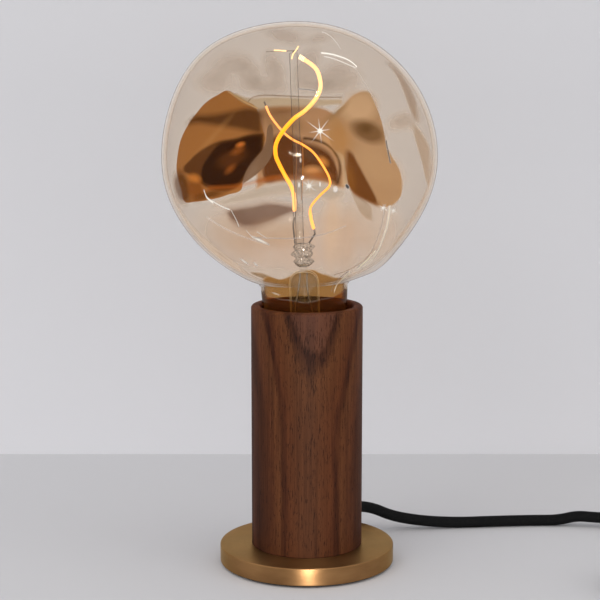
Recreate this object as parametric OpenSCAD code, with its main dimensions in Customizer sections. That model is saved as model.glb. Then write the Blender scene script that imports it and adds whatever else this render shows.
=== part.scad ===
// Bare bulb table lamp: a turned walnut cylinder on a brass disc, which holds a large
// bulb of irregular blown glass. Millimetres, +Z up, origin under the middle of the foot.

/* [Base disc] */
// Radius of the brass disc
base_r = 60; // [54:1:70]
// Thickness of the brass disc
base_t = 12; // [10:0.5:16]
// Bevel on the disc's two outer edges
base_bevel = 0.8; // [0.3:0.1:2]
// Thickness of the pad under the disc
pad_t = 1.5; // [1:0.25:3]
// How far the pad's edge stays inside the disc's edge
pad_inset = 3; // [1:0.5:8]
// Radius of the circle on which the three base screws stand
base_screw_ring = 31.5; // [30:0.5:33]
// How far the base screws go into the wood
base_screw_bite = 15; // [10:0.5:18]

/* [Walnut body] */
// Radius of the turned body
wood_r = 38; // [37:0.5:42]
// Height of the turned body
wood_h = 167; // [160:1:174]
// Radius of the rounded lip at the top
lip_r = 2; // [1:0.25:2.5]
// Radius of the bore that takes the neck of the bulb
bore_r = 31.5; // [31:0.25:33]
// Height of the bore's floor above the body's foot
floor_h = 70.5; // [60:0.5:76]
// Radius of the wiring space in the foot
cavity_r = 25; // [24.5:0.25:27]
// Height of the wiring space in the foot
cavity_h = 30; // [28:0.5:40]

/* [Lampholder] */
// Outer radius of the lampholder
holder_r = 19.5; // [19:0.25:21]
// Height of the lampholder's lower cup
cup_h = 21; // [20:0.5:24]
// Height of the contact block above the cup's foot
block_lift = 15.5; // [14.5:0.5:17]
// Thickness of the contact block
block_t = 9; // [8:0.5:12]
// Radius of the screw liner, inside
liner_r = 13.5; // [13.4:0.1:14]
// Outer radius of the threaded tube that carries the lampholder
tube_r = 5; // [4.5:0.1:5.5]
// Radius of the washer under the wood's floor
lower_washer_r = 13; // [11:0.25:14]
// Radius of the washer on the wood's floor
upper_washer_r = 15; // [13:0.25:17]

/* [Bulb cap] */
// Radius of the bulb's screw cap
cap_r = 13.1; // [13:0.05:13.3]
// Length of the screw cap's metal shell
cap_h = 22; // [20:0.5:26]
// Sheet thickness of the screw cap
cap_wall = 0.35; // [0.25:0.05:0.5]
// Rise of the contact spring above its block
spring_rise = 2.6; // [2:0.1:4]

/* [Glass] */
// Radius of the blown globe
globe_r = 92.4; // [80:0.4:96]
// Half height of the globe above its widest level
globe_up = 90.6; // [80:0.4:96]
// Half height of the globe below its widest level
globe_down = 88; // [84:0.4:90]
// Height of the globe's widest level above the screw cap
globe_lift = 140; // [138:0.5:148]
// Radius of the neck where it passes the rim
neck_r = 28.7; // [27:0.1:28.8]
// Thickness of the glass
glass_t = 1.2; // [0.8:0.1:2]
// Lean of the glass against its screw cap, in degrees
lean = 2; // [0:0.25:2.25]

/* [Filament] */
// Radius at which the strands wind round the glass rod
strand_r = 16; // [12:0.5:20]
// Height of the strands' lower ends above the screw cap
strand_foot = 91.3; // [88:0.5:100]
// Height of the wound strands
strand_h = 119; // [100:1:125]
// Thickness radius of the front strand
strand_front_t = 1.35; // [0.8:0.05:1.6]
// Thickness radius of the thin strand
strand_back_t = 0.75; // [0.5:0.05:1]
// Radius of the glass rod between the strands
rod_r = 2.7; // [1.5:0.1:3.5]

/* [Cord] */
// Radius of the braided cord
cord_r = 4; // [3:0.25:4]
// Height of the cord's exit above the top of the disc
exit_h = 8; // [7.5:0.25:10]
// Length of the boot outside the body
boot_l = 22; // [18:1:24]

/* [Rocker switch] */
// Length of the switch housing
switch_l = 68; // [64:1:72]
// Width of the switch housing
switch_w = 28; // [24:1:34]
// Height of the switch housing
switch_h = 19; // [18:0.5:24]
// Radius of the rocker's round ends about its pin
rocker_r = 10.6; // [9:0.2:12]
// Width of the rocker
rocker_w = 11; // [9:0.5:14]
// Tilt of the rocker either side of level
rocker_tilt = 9; // [5:1:12]
// Running clearance of the rocker and its pin
fit_gap = 0.06; // [0.04:0.01:0.1]

/* [Plug] */
// Width of the plug's body
plug_w = 50; // [48:1:56]
// Length of the plug's body
plug_l = 50; // [48:1:54]
// Thickness of the plug's body
plug_t = 19; // [18.5:0.5:24]

/* [Hidden] */
$fn = 64;

// Gaps between neighbouring pieces: a close fit, a loose fit and a soft contact
close = 0.1;
loose = 0.25;
apart = 0.3;

// Heights of the stack, from the table up
disc_z = pad_t;
wood_z = pad_t + base_t;
rim_z = wood_z + wood_h;
ceiling_z = wood_z + cavity_h;
floor_z = wood_z + floor_h;
washer_t = 1.5;
cup_z = floor_z + washer_t;
block_z = cup_z + block_lift;
block_top = block_z + block_t;
contact_t = 1.6;
insulator_h = 3.2;
tip_z = block_top + spring_rise + apart;
cap_foot = tip_z + contact_t + insulator_h;
cap_z = cap_foot + cap_h;
shell_z = cup_z + cup_h;
shell_top = cap_z + 3.3;

// Cord exit, and its direction in degrees from +X towards +Y
exit_turn = 60;
exit_z = wood_z + exit_h;
spot_r = cord_r + 3.2;
spot_at = wood_r - 2;
boot_tip = wood_r + boot_l;
clamp_at = 15;
clamp_w = 8;
clamp_l = 23;
clamp_screw_at = 8.5;
screw_r = 1.5;

// Nut on the threaded tube, across its corners
nut_t = 6;
nut_r = tube_r + 3.2;
tube_foot = ceiling_z - washer_t - nut_t - 2;
tube_top = cup_z + 8.5;
tube_bore = tube_r - 1;

// ---------- curves, tubes and rings of points ----------

function unit(v) = v / norm(v);
function smooth01(t) = let (c = max(0, min(1, t))) c * c * (3 - 2 * c);
function catmull(a, b, c, d, t) =
    0.5 * (2 * b + (c - a) * t + (2 * a - 5 * b + 4 * c - d) * t * t
        + (3 * b - a - 3 * c + d) * t * t * t);
// A route with steps times as many stretches, through the same points
function smooth_route(p, steps) = let (n = len(p)) concat(
    [for (i = [0:n - 2], k = [0:steps - 1])
        catmull(p[max(i - 1, 0)], p[i], p[i + 1], p[min(i + 2, n - 1)], k / steps)],
    [p[n - 1]]);
function heading(p, i) = unit(p[min(i + 1, len(p) - 1)] - p[max(i - 1, 0)]);
// A ring of points round a route's point, square to the route
function ring_at(p, i, r, sides, up) = let (
        t = heading(p, i),
        s = unit(cross(t, up)),
        u = cross(s, t))
    [for (k = [0:sides - 1]) p[i] - r * (cos(360 * k / sides) * u + sin(360 * k / sides) * s)];

// A closed skin over a stack of rings, with a point at each end
module skin(rings, first, last) {
    n = len(rings[0]);
    m = len(rings);
    points = concat([first], [for (ring = rings, p = ring) p], [last]);
    side = [for (j = [0:m - 2], k = [0:n - 1], half = [0, 1]) let (
            a = 1 + j * n + k,
            b = 1 + j * n + (k + 1) % n,
            c = a + n,
            d = b + n)
        half == 0 ? [a, c, b] : [b, c, d]];
    foot = [for (k = [0:n - 1]) [0, 1 + k, 1 + (k + 1) % n]];
    head = [for (k = [0:n - 1]) [1 + m * n, 1 + (m - 1) * n + (k + 1) % n, 1 + (m - 1) * n + k]];
    polyhedron(points, concat(foot, side, head));
}

// A tube of radius r along a route
module tube(route, r, sides, up = [0, 0, 1]) {
    rings = [for (i = [0:len(route) - 1]) ring_at(route, i, r, sides, up)];
    skin(rings, route[0], route[len(route) - 1]);
}

module ring(outer, inner, z, h) {
    translate([0, 0, z]) difference() {
        cylinder(r = outer, h = h);
        translate([0, 0, -1]) cylinder(r = inner, h = h + 2);
    }
}

module screw(shank, length, head, head_h) {
    translate([0, 0, -length]) cylinder(r = shank, h = length + 0.01);
    difference() {
        cylinder(r = head, h = head_h);
        translate([-head, -0.4, head_h - 0.7]) cube([2 * head, 0.8, 1]);
    }
}

// Everything along the cord's exit: +X of the children points out of the body
module at_exit() {
    rotate([0, 0, exit_turn]) translate([0, 0, exit_z]) children();
}

// The frame of the leaning glass: the foot of the neck on the screw cap
module in_glass() {
    translate([0, 0, cap_z]) rotate([0, -lean, 0]) children();
}

// ---------- base ----------

module base_pad() {
    color([0.07, 0.07, 0.07]) cylinder(r = base_r - pad_inset, h = pad_t, $fn = 96);
}

module base_holes() {
    for (k = [0:2]) rotate([0, 0, 30 + 120 * k]) translate([base_screw_ring, 0, disc_z])
        children();
}

module base_plate() {
    color([0.72, 0.55, 0.32]) difference() {
        translate([0, 0, disc_z]) rotate_extrude($fn = 128) polygon([
            [0, 0], [base_r - base_bevel, 0], [base_r, base_bevel],
            [base_r, base_t - base_bevel], [base_r - base_bevel, base_t], [0, base_t]]);
        base_holes() {
            translate([0, 0, -1]) cylinder(r = 2.2, h = base_t + 2);
            translate([0, 0, -0.01]) cylinder(r1 = 4.6, r2 = 2.2, h = 2.6);
        }
        clamp_screw_places() cylinder(r = screw_r + close, h = 7);
        earth_place() translate([0, 0, -7]) cylinder(r = 2 + close, h = 8);
    }
}

module base_screws() {
    color([0.75, 0.75, 0.76]) base_holes() {
        translate([0, 0, 0.2]) cylinder(r1 = 4.1, r2 = 1.9, h = 2.4);
        translate([0, 0, 2.5]) cylinder(r = 1.9, h = base_t + base_screw_bite);
    }
}

// ---------- walnut body ----------

module wood_profile() {
    lip_z = wood_h - lip_r;
    polygon(concat(
        [[cavity_r, 0], [wood_r, 0]],
        [for (a = [0:15:90]) [wood_r - lip_r + lip_r * cos(a), lip_z + lip_r * sin(a)]],
        [for (a = [90:15:180]) [bore_r + lip_r + lip_r * cos(a), lip_z + lip_r * sin(a)]],
        [[bore_r, floor_h], [tube_r + loose, floor_h], [tube_r + loose, cavity_h],
         [cavity_r, cavity_h]]));
}

module wood_body() {
    color([0.35, 0.21, 0.15]) difference() {
        translate([0, 0, wood_z]) rotate_extrude($fn = 128) wood_profile();
        base_holes() translate([0, 0, base_t - 1])
            cylinder(r = 1.9 + close, h = base_screw_bite + 5);
        at_exit() {
            rotate([0, 90, 0]) cylinder(r = cord_r + 1.5 + close, h = wood_r + 5);
            translate([spot_at, 0, 0]) rotate([0, 90, 0]) cylinder(r = spot_r, h = 10);
        }
    }
}

// ---------- cord exit and clamp ----------

module cord_boot() {
    inside = cavity_r - 2;
    color([0.05, 0.05, 0.05]) at_exit() rotate([0, 90, 0]) rotate_extrude() polygon([
        [cord_r + close, inside], [cord_r + 1.5, inside], [cord_r + 1.5, spot_at],
        [spot_r - loose, spot_at], [spot_r - loose, wood_r + 0.6], [cord_r + 2, wood_r + 2],
        [cord_r + 0.7, boot_tip], [cord_r + close, boot_tip]]);
}

module cord_entry() {
    color([0.04, 0.04, 0.04]) at_exit() translate([cord_end, 0, 0]) rotate([0, 90, 0])
        cylinder(r = cord_r, h = boot_tip - cord_end);
}

module clamp_screw_places() {
    rotate([0, 0, exit_turn]) for (side = [-1, 1])
        translate([clamp_at, side * clamp_screw_at, wood_z - 6]) children();
}

module clamp_block(z0, z1) {
    difference() {
        rotate([0, 0, exit_turn]) translate([clamp_at - clamp_w / 2, -clamp_l / 2, z0])
            cube([clamp_w, clamp_l, z1 - z0]);
        at_exit() rotate([0, 90, 0]) cylinder(r = cord_r + close, h = 40);
        clamp_screw_places() cylinder(r = screw_r + close, h = 40);
    }
}

module clamp_saddle() {
    color([0.85, 0.83, 0.78]) clamp_block(wood_z, exit_z - 0.6);
}

module clamp_bridge() {
    color([0.85, 0.83, 0.78]) clamp_block(exit_z + 0.6, exit_z + cord_r + 3);
}

module clamp_screws() {
    top = exit_z + cord_r + 3;
    color([0.75, 0.75, 0.76]) clamp_screw_places()
        translate([0, 0, top - wood_z + 6]) screw(screw_r, top - wood_z + 5, 2.8, 2);
}

// ---------- earth terminal and wires ----------

earth_at = [-12, -9];

module earth_place() {
    translate([earth_at[0], earth_at[1], wood_z]) children();
}

module earth_tag() {
    color([0.8, 0.78, 0.7]) earth_place() {
        ring(4, 2 + close, 0, 0.8);
        translate([3.9, -1.6, 0]) cube([4, 3.2, 0.8]);
        translate([7.8, 0, 1.8]) rotate([0, 90, 0]) difference() {
            cylinder(r = 1.8, h = 5);
            translate([0, 0, -1]) cylinder(r = wire_r + 0.15, h = 7);
        }
    }
}

module earth_screw() {
    color([0.8, 0.78, 0.7]) earth_place() translate([0, 0, 0.8]) screw(2, 7, 3.6, 2.4);
}

wire_r = 1.15;
terminal_x = 9;
cord_end = 9;
exit_way = [cos(exit_turn), sin(exit_turn), 0];
across = [-sin(exit_turn), cos(exit_turn), 0];
wire_from = (cord_end - loose) * exit_way + [0, 0, exit_z];

// A wire of one colour from the cord up through the threaded tube to its terminal
function riser(side) = smooth_route([
    wire_from - side * 1.7 * across,
    wire_from - side * 1.7 * across - 2 * exit_way,
    wire_from - side * 1.6 * across - 6 * exit_way + [0, 0, 1.5],
    [side * 1.4, 0.6, tube_foot - 4],
    [side * 1.4, 0, tube_foot + 4],
    [side * 1.4, 0, (tube_foot + tube_top) / 2],
    [side * 1.4, 0, tube_top - 2],
    [side * terminal_x * 0.55, 0, tube_top + 2.2],
    [side * (terminal_x - 0.4), 0, block_z - 3],
    [side * terminal_x, 0, block_z - 0.8],
    [side * terminal_x, 0, block_z + 4]], 3);

module wire_live() {
    color([0.42, 0.22, 0.1]) tube(riser(1), wire_r, 8, [0, 1, 0]);
}

module wire_neutral() {
    color([0.1, 0.25, 0.6]) tube(riser(-1), wire_r, 8, [0, 1, 0]);
}

module wire_earth() {
    route = smooth_route([
        wire_from + [0, 0, -2.1], wire_from - 2 * exit_way + [0, 0, -2.1],
        wire_from - 8 * exit_way + [2, 0, -2.8], [4.6, -7.4, wood_z + 2.4],
        [2.4, earth_at[1], wood_z + 1.8], [-1, earth_at[1], wood_z + 1.8]], 4);
    color([0.35, 0.62, 0.2]) tube(route, wire_r, 8);
}

// ---------- threaded tube ----------

module nipple() {
    color([0.78, 0.77, 0.72]) ring(tube_r, tube_bore, tube_foot, tube_top - tube_foot);
}

module nipple_washers() {
    color([0.78, 0.77, 0.72]) {
        ring(lower_washer_r, tube_r + close, ceiling_z - washer_t, washer_t);
        ring(upper_washer_r, tube_r + close, floor_z, washer_t);
    }
}

module nipple_nut() {
    color([0.78, 0.77, 0.72]) translate([0, 0, ceiling_z - washer_t - nut_t]) difference() {
        cylinder(r = nut_r, h = nut_t, $fn = 6);
        translate([0, 0, -1]) cylinder(r = tube_r + close, h = nut_t + 2);
    }
}

// ---------- lampholder ----------

holder_wall = 2.3;
block_r = holder_r - holder_wall - loose;

module holder_cup() {
    color([0.1, 0.1, 0.1]) translate([0, 0, cup_z]) rotate_extrude() polygon([
        [tube_r + close, 0], [11, 0], [14.5, 3], [holder_r - 0.5, 9], [holder_r - 0.5, cup_h],
        [block_r + loose, cup_h], [block_r + loose, 9.6], [12.5, 3.5], [8, 3.5], [8, 9],
        [tube_r + close, 9]]);
}

module holder_shell() {
    waist = holder_r - 1.7;
    mouth = liner_r + 1.7;
    step = block_top - shell_z;
    color([0.1, 0.1, 0.1]) translate([0, 0, shell_z]) rotate_extrude() polygon([
        [block_r + loose, 0], [holder_r, 0], [holder_r, step + 1], [waist, step + 4],
        [waist, shell_top - shell_z - 1.5], [waist - 1, shell_top - shell_z],
        [mouth, shell_top - shell_z], [mouth, step + 2.5], [block_r + loose, step + 0.4]]);
}

module holder_block() {
    color([0.92, 0.9, 0.85]) difference() {
        translate([0, 0, block_z]) cylinder(r = block_r, h = block_t);
        for (side = [-1, 1]) {
            translate([side * terminal_x, 0, block_z - 1]) cylinder(r = wire_r + 0.35, h = 6);
            translate([side * terminal_x, 5.5, block_z - 1]) cylinder(r = 1.3 + close, h = 8);
        }
    }
}

module holder_liner() {
    wall = 0.4;
    color([0.8, 0.72, 0.5]) {
        ring(liner_r + wall, liner_r, block_top + 0.4, cap_z - 1 - block_top);
        ring(liner_r + wall, liner_r - 2.5, block_top, 0.41);
    }
}

module tip_spring() {
    color([0.8, 0.72, 0.5]) translate([0, 2.5, block_top]) rotate([90, 0, 0])
        linear_extrude(5) polygon([
            [-9.5, 0], [-4, 0], [-1, spring_rise - 0.5], [2.5, spring_rise - 0.5],
            [4, spring_rise - 1.6], [4.4, spring_rise - 1.2], [2.8, spring_rise],
            [-1.3, spring_rise], [-4.3, 0.5], [-9.5, 0.5]]);
}

module side_spring() {
    at = liner_r + 0.4 + close;
    color([0.8, 0.72, 0.5]) {
        translate([at, -2, block_top]) cube([0.4, 4, 9]);
        translate([at, -2, block_top]) cube([block_r - at - 0.6, 4, 0.4]);
    }
}

module terminal_screws() {
    color([0.8, 0.78, 0.7]) for (side = [-1, 1])
        translate([side * terminal_x, 5.5, block_z]) rotate([180, 0, 0]) screw(1.3, 6, 2.6, 1.8);
}

// ---------- bulb: cap, glass and what stands in it ----------

module bulb_tip_contact() {
    color([0.75, 0.75, 0.76]) translate([0, 0, tip_z]) {
        cylinder(r = 4.4, h = contact_t);
        translate([0, 0, contact_t - 0.01]) cylinder(r = 2, h = 1.2);
    }
}

module bulb_insulator() {
    color([0.08, 0.07, 0.08]) translate([0, 0, tip_z + contact_t]) rotate_extrude() polygon([
        [2.3, 0], [5.5, 0], [9.5, insulator_h], [9.5, insulator_h + 1.2],
        [2.3, insulator_h + 1.2]]);
}

module bulb_cap() {
    neck = cap_r - cap_wall;
    color([0.82, 0.8, 0.74]) translate([0, 0, cap_foot]) rotate_extrude() polygon([
        [9.7, 0], [10.4, -0.3], [12, 0.4], [cap_r, 2], [cap_r, cap_h],
        [neck, cap_h], [neck, 2.3], [11.6, 0.9], [9.7, 0.7]]);
}

module bulb_driver() {
    board_w = 2 * (cap_r - cap_wall) - 7;
    color([0.25, 0.4, 0.25]) translate([-board_w / 2, -0.8, cap_foot + 1.3])
        cube([board_w, 1.6, cap_h - 9]);
    color([0.2, 0.2, 0.22]) translate([-4, 0.79, cap_foot + 4]) cube([8, 4, 7]);
}

// Height and radius of the neck, from the screw cap up to the throat
throat_h = globe_lift - globe_down * sin(70);
neck_h = throat_h - 3.2;
neck_foot_r = cap_r - cap_wall - 0.45;
function neck_radius(s) = neck_foot_r
    + (neck_r - neck_foot_r) * smooth01(s / 40) + 0.7 * smooth01((s - 40) / (neck_h - 40));

// Soft hollows and swells of the blown globe: direction, elevation, depth and width
dents = [
    [180, 50, 4.6, 24], [0, -34, -2.2, 20], [180, -34, -2.2, 16], [180, -52, -3.2, 12],
    [0, -58, 2.6, 12], [-50, 6, -4.2, 22], [-130, 10, -4.6, 22], [-90, -42, -3, 18],
    [-90, 46, -3.2, 20], [90, 12, -4.5, 26], [45, -12, -2.6, 20], [135, -14, -3, 20],
    [60, 52, -3, 18]];
function toward(az, el) = [cos(el) * cos(az), cos(el) * sin(az), sin(el)];
function swell(az, el) = let (v = toward(az, el)) [for (d = dents)
    d[2] * exp(-pow(acos(min(1, v * toward(d[0], d[1]))) / d[3], 2))];
function total(v, i = 0) = i < len(v) ? v[i] + total(v, i + 1) : 0;
// A point of the globe, inset by t: an ellipsoid that the swells push in and out
function globe_point(az, el, t) = let (
        k = 1 + (total(swell(az, el)) * smooth01((el + 70) / 12) - t) / globe_r,
        up = el < 0 ? globe_down : globe_up)
    [globe_r * cos(el) * cos(az) * k, globe_r * cos(el) * sin(az) * k,
     globe_lift + up * sin(el) * k];

glass_sides = 36;
neck_steps = [-5, 0, 6, 12, 18, 24, 30, 36, 42];
globe_steps = [-70, -66, -60, -53, -46, -38, -30, -22, -14, -6, 2, 10, 18, 26, 34, 42, 50, 58,
    66, 73, 80, 85];
function circle_of(r, z) =
    [for (k = [0:glass_sides - 1]) [r * cos(360 * k / glass_sides), r * sin(360 * k / glass_sides), z]];
// The rings of the glass from the neck's foot to the crown, inset by t
function glass_rings(t) = concat(
    [for (s = neck_steps) circle_of(neck_radius(s) - t, s)],
    [circle_of(neck_radius(neck_h) - t, neck_h)],
    [for (el = globe_steps) [for (k = [0:glass_sides - 1]) globe_point(360 * k / glass_sides, el, t)]]);
function turned_over(v) = [for (i = [len(v) - 1:-1:0]) v[i]];

module bulb_glass() {
    outer = turned_over(glass_rings(0));
    inner = glass_rings(glass_t);
    color([0.8, 0.68, 0.5, 0.4]) in_glass()
        skin(concat(outer, inner), globe_point(0, 90, 0), globe_point(0, 90, glass_t));
}

// Stem: a flared tube from the neck's foot, its dome and the pinched press above
flare_r = 10;
press_h = 15.8;
press_top = strand_foot - 8.5;
press_foot = press_top - press_h;
flare_top = press_foot - 11;
rod_x = -1.8;
rod_top = strand_foot + strand_h;

module bulb_stem() {
    foot_r = neck_foot_r - glass_t - 0.4;
    color([0.85, 0.85, 0.82, 0.5]) in_glass() {
        rotate_extrude() polygon(concat(
            [[foot_r, -4.5], [foot_r, 0], [flare_r, 8]],
            [for (a = [0:15:75]) [3 + (flare_r - 3) * cos(a), flare_top + 8 * sin(a)]],
            [[3, flare_top + 8], [3, press_foot + 1], [0, press_foot + 1],
             [0, flare_top + 7]],
            [for (a = [75:-15:0]) [2.2 + (flare_r - 3) * cos(a), flare_top + 7 * sin(a)]],
            [[flare_r - 0.8, 8.3], [foot_r - 0.9, 0.3], [foot_r - 0.9, -4.5]]));
        translate([0, 0, press_foot]) intersection() {
            rotate_extrude() polygon([
                [0, 0], [4.2, 0], [5.4, 2.5], [5, 5], [6.6, 8], [6, 11],
                [6.6, press_top - press_foot - 1], [6.2, press_top - press_foot],
                [0, press_top - press_foot]]);
            translate([-10, -3.4, -1]) cube([20, 6.8, 30]);
        }
    }
}

module support_rod() {
    color([0.85, 0.85, 0.82, 0.5]) in_glass() translate([rod_x, 0, press_top])
        cylinder(r = rod_r, h = rod_top - press_top);
}

hook_r = 0.45;
hook_lift = 1.2;

module hook_wire() {
    reach = strand_r + 2;
    color([0.35, 0.33, 0.32]) in_glass() {
        translate([rod_x, 0, rod_top]) cylinder(r = hook_r, h = hook_lift + 1);
        translate([rod_x - reach, 0, rod_top + hook_lift]) rotate([0, 90, 0])
            cylinder(r = hook_r, h = reach + 3);
        translate([rod_x + 1.6, 0, rod_top + hook_lift]) rotate([90, 0, 0])
            cylinder(r = hook_r, h = rod_r + 0.7);
        translate([rod_x + 1.6, -rod_r - 0.6, rod_top + hook_lift]) rotate([0, 35, 0])
            translate([0, 0, -5.8]) cylinder(r = hook_r, h = 8.7);
    }
}

// The two strands, in units of their radius and of their height
front_route = [
    [0.16, 0, 0.975], [0.76, -0.2, 0.914], [0.95, -0.35, 0.849], [0.94, -0.5, 0.793],
    [0.71, -0.7, 0.738], [0.29, -0.87, 0.682], [-0.18, -0.85, 0.639], [-0.65, -0.62, 0.571],
    [-0.96, -0.25, 0.499], [-1, 0.12, 0.432], [-0.87, 0.42, 0.376], [-0.64, 0.55, 0.309],
    [-0.4, 0.5, 0.247], [-0.3, 0.36, 0.186], [-0.3, 0.3, 0.106]];
back_route = [
    [-1.34, 0.1, 0.712], [-1.14, 0.4, 0.645], [-0.66, 0.75, 0.555], [-0.26, 0.85, 0.509],
    [0.11, 0.8, 0.482], [0.57, 0.65, 0.436], [0.93, 0.4, 0.368], [1.21, 0.05, 0.295],
    [1.19, -0.25, 0.25], [0.8, -0.38, 0.203], [0.4, -0.4, 0.141], [0.38, -0.32, 0.08],
    [0.49, -0.2, 0.01]];
function wound(route) = [for (p = route)
    [p[0] * strand_r, p[1] * strand_r, strand_foot + p[2] * strand_h]];
function last(v) = v[len(v) - 1];
front_strand = smooth_route(wound(front_route), 2);
back_strand = smooth_route(wound(back_route), 2);
function end_way(p) = unit(last(p) - p[len(p) - 2]);
function start_way(p) = unit(p[0] - p[1]);
clip_l = strand_front_t * 2.2;

module filament_front() {
    color([1, 0.75, 0.25]) in_glass()
        tube(front_strand, strand_front_t, 8, [0.1, 0, 1]);
}

module filament_back() {
    color([1, 0.65, 0.3]) in_glass()
        tube(back_strand, strand_back_t, 6, [0.1, 0.1, 1]);
}

module rod_between(a, b, r, sides = 12) {
    d = b - a;
    translate(a) rotate([0, acos(d[2] / norm(d)), atan2(d[1], d[0])])
        cylinder(r = r, h = norm(d), $fn = sides + 4);
}

// Short metal ends that carry on from each strand
module filament_clips() {
    ends = [last(front_strand), last(back_strand), back_strand[0], front_strand[0]];
    ways = [end_way(front_strand), end_way(back_strand), start_way(back_strand),
        start_way(front_strand)];
    thick = [strand_front_t, strand_back_t, strand_back_t, strand_front_t];
    color([0.4, 0.4, 0.4]) in_glass() for (k = [0:3])
        rod_between(ends[k], ends[k] + ways[k] * (k == 3 ? 0.8 : clip_l), thick[k] * 0.8);
}

// Leads from the strands to the press, and on inside the flared tube to the cap
module lead_wires() {
    past = clip_l * 1.17;
    front_end = last(front_strand) + end_way(front_strand) * past;
    back_end = last(back_strand) + end_way(back_strand) * past;
    upper_end = back_strand[0] + start_way(back_strand) * past;
    hook_end = [rod_x - strand_r - 1.6, 0, rod_top + hook_lift - hook_r - 0.3];
    color([0.3, 0.29, 0.28]) in_glass() {
        rod_between(front_end, [-5.6, 1, press_top + 0.3], hook_r);
        rod_between(back_end, [4.4, 0, press_top + 0.3], hook_r);
        rod_between(upper_end, hook_end, hook_r * 0.6);
        for (side = [-1, 1]) tube([[side * 2, 0, flare_top + 6.8], [side * 3.4, 0, flare_top * 0.78],
            [side * 5, 0, flare_top * 0.4], [side * 6, 0, -7.4]], hook_r, 8, [0, 1, 0]);
    }
}

// ---------- cord, from the boot to the plug ----------

// Middle of the switch, and the heights of its cord and of the cord on the table
switch_at = [290, 75, 0];
switch_exit_z = 8.5;
switch_boot_l = 20;
plug_at = [230, -66, 0];
plug_cord_z = 9.5;
plug_boot_l = 25;
lead_route = [
    boot_tip * exit_way + [0, 0, exit_z],
    (boot_tip + 3) * exit_way + [0, 0, exit_z],
    [36.3, 60.1, exit_z - 0.7], [42.1, 65.1, 19.3], [49.7, 69.1, 16.6], [57.6, 71.4, 12.9],
    [66, 72.6, 9.9], [74.8, 73.3, 7.9], [83.8, 73.9, 6.4], [92.7, 74.7, 5.3], [101.7, 75.5, 4.6],
    [110.7, 76.4, 4.2], [119.7, 77.2, 4], [137.8, 78.8, 4], [155.8, 80.7, 4], [173.9, 81.7, 4],
    [183, 81.7, 4.1], [191.9, 81.1, 5.4], [200.7, 80, 7], [209.6, 78.5, 7.4], [218.5, 76.9, 7.4],
    [227.5, 75.6, 7.8],
    [switch_at[0] - switch_l / 2 - switch_boot_l, 75, switch_exit_z],
    [switch_at[0] - switch_l / 2 + 4, 75, switch_exit_z]];
link_route = [
    [switch_at[0] + switch_l / 2 - 4, 75, switch_exit_z],
    [switch_at[0] + switch_l / 2 + switch_boot_l, 75, switch_exit_z],
    [353.3, 73.8, 8.2], [362, 70.2, 7.3], [369.5, 64.5, 6.3], [375.2, 57, 5.2],
    [378.8, 48.3, 4.3], [380, 39, 4], [380, 28, 4], [380, 12, 4], [380, -2, 4]];

coil_at = [324, -10];
coil_r = 56;
coil_pitch = 8.6;
layer_h = 8.6;
coil_turn = 1530;
climb_turn = 180;
coil_z = 4;
function coil_point(a) = let (
        r = coil_r - coil_pitch * min(a, coil_turn - a) / 360,
        rise = layer_h * smooth01((a - (coil_turn - climb_turn) / 2) / climb_turn))
    [coil_at[0] + r * cos(-a), coil_at[1] + r * sin(-a), coil_z + rise];
coil_route = concat(
    [[coil_at[0] + coil_r, coil_at[1] + 8, coil_z]],
    [for (a = [0:15:coil_turn]) coil_point(a)],
    [[coil_at[0] - 8, coil_at[1] - coil_r, coil_z + layer_h]]);
tail_route = [
    [316, -66, 12.6], [308, -66, 12.4], [298, -66, 10.8], [288, -66, plug_cord_z],
    [plug_at[0] + plug_l / 2 + plug_boot_l, -66, plug_cord_z],
    [plug_at[0] + plug_l / 2 - 5, -66, plug_cord_z]];

function length_of(p, i = 0) = i < len(p) - 1 ? norm(p[i + 1] - p[i]) + length_of(p, i + 1) : 0;
coil_gap = min([for (a = [0:15:coil_turn - 200], b = [a + 200:15:coil_turn])
    norm(coil_point(a) - coil_point(b))]) - 2 * cord_r;
echo(least_gap_in_the_coil = coil_gap);
echo(cord_lengths = [length_of(lead_route), length_of(link_route), length_of(coil_route),
    length_of(tail_route)]);

module cord_lead() {
    color([0.04, 0.04, 0.04]) tube(lead_route, cord_r, 8);
}

module cord_link() {
    color([0.04, 0.04, 0.04]) tube(link_route, cord_r, 8);
}

module cord_coil() {
    color([0.04, 0.04, 0.04]) tube(coil_route, cord_r, 6);
}

module cord_tail() {
    color([0.04, 0.04, 0.04]) tube(tail_route, cord_r, 8);
}

// ---------- rocker switch on the cord ----------

switch_wall = 2;
split_z = 10;
pivot_r = 1;
pivot_z = switch_h - 4.5;
corner_r = 6;
switch_screw_x = switch_l / 2 - 9;

module in_switch() {
    translate(switch_at) children();
}

module plain_box(l, w, r, h) {
    linear_extrude(h) {
        square([l - 2 * r, w], center = true);
        square([l, w - 2 * r], center = true);
        for (x = [-1, 1], y = [-1, 1])
            translate([x * (l / 2 - r), y * (w / 2 - r)]) circle(r);
    }
}

module switch_gland() {
    for (side = [-1, 1]) translate([side * (switch_l / 2 - 5), 0, switch_exit_z])
        rotate([0, side * 90, 0]) cylinder(r = cord_r + 1.1, h = 10);
}

module switch_base() {
    color([0.06, 0.06, 0.06]) in_switch() difference() {
        union() {
            difference() {
                plain_box(switch_l, switch_w, corner_r, split_z);
                translate([0, 0, switch_wall])
                    plain_box(switch_l - 2 * switch_wall, switch_w - 2 * switch_wall,
                        corner_r - switch_wall, split_z);
            }
            for (x = [-1, 1]) translate([x * switch_screw_x, 0, 1]) cylinder(r = 3.4, h = 3);
        }
        switch_gland();
        for (x = [-1, 1]) translate([x * switch_screw_x, 0, -1]) {
            cylinder(r = 1.5 + close, h = 8);
            cylinder(r = 2.6 + apart, h = 2.6 + close);
        }
    }
}

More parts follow.
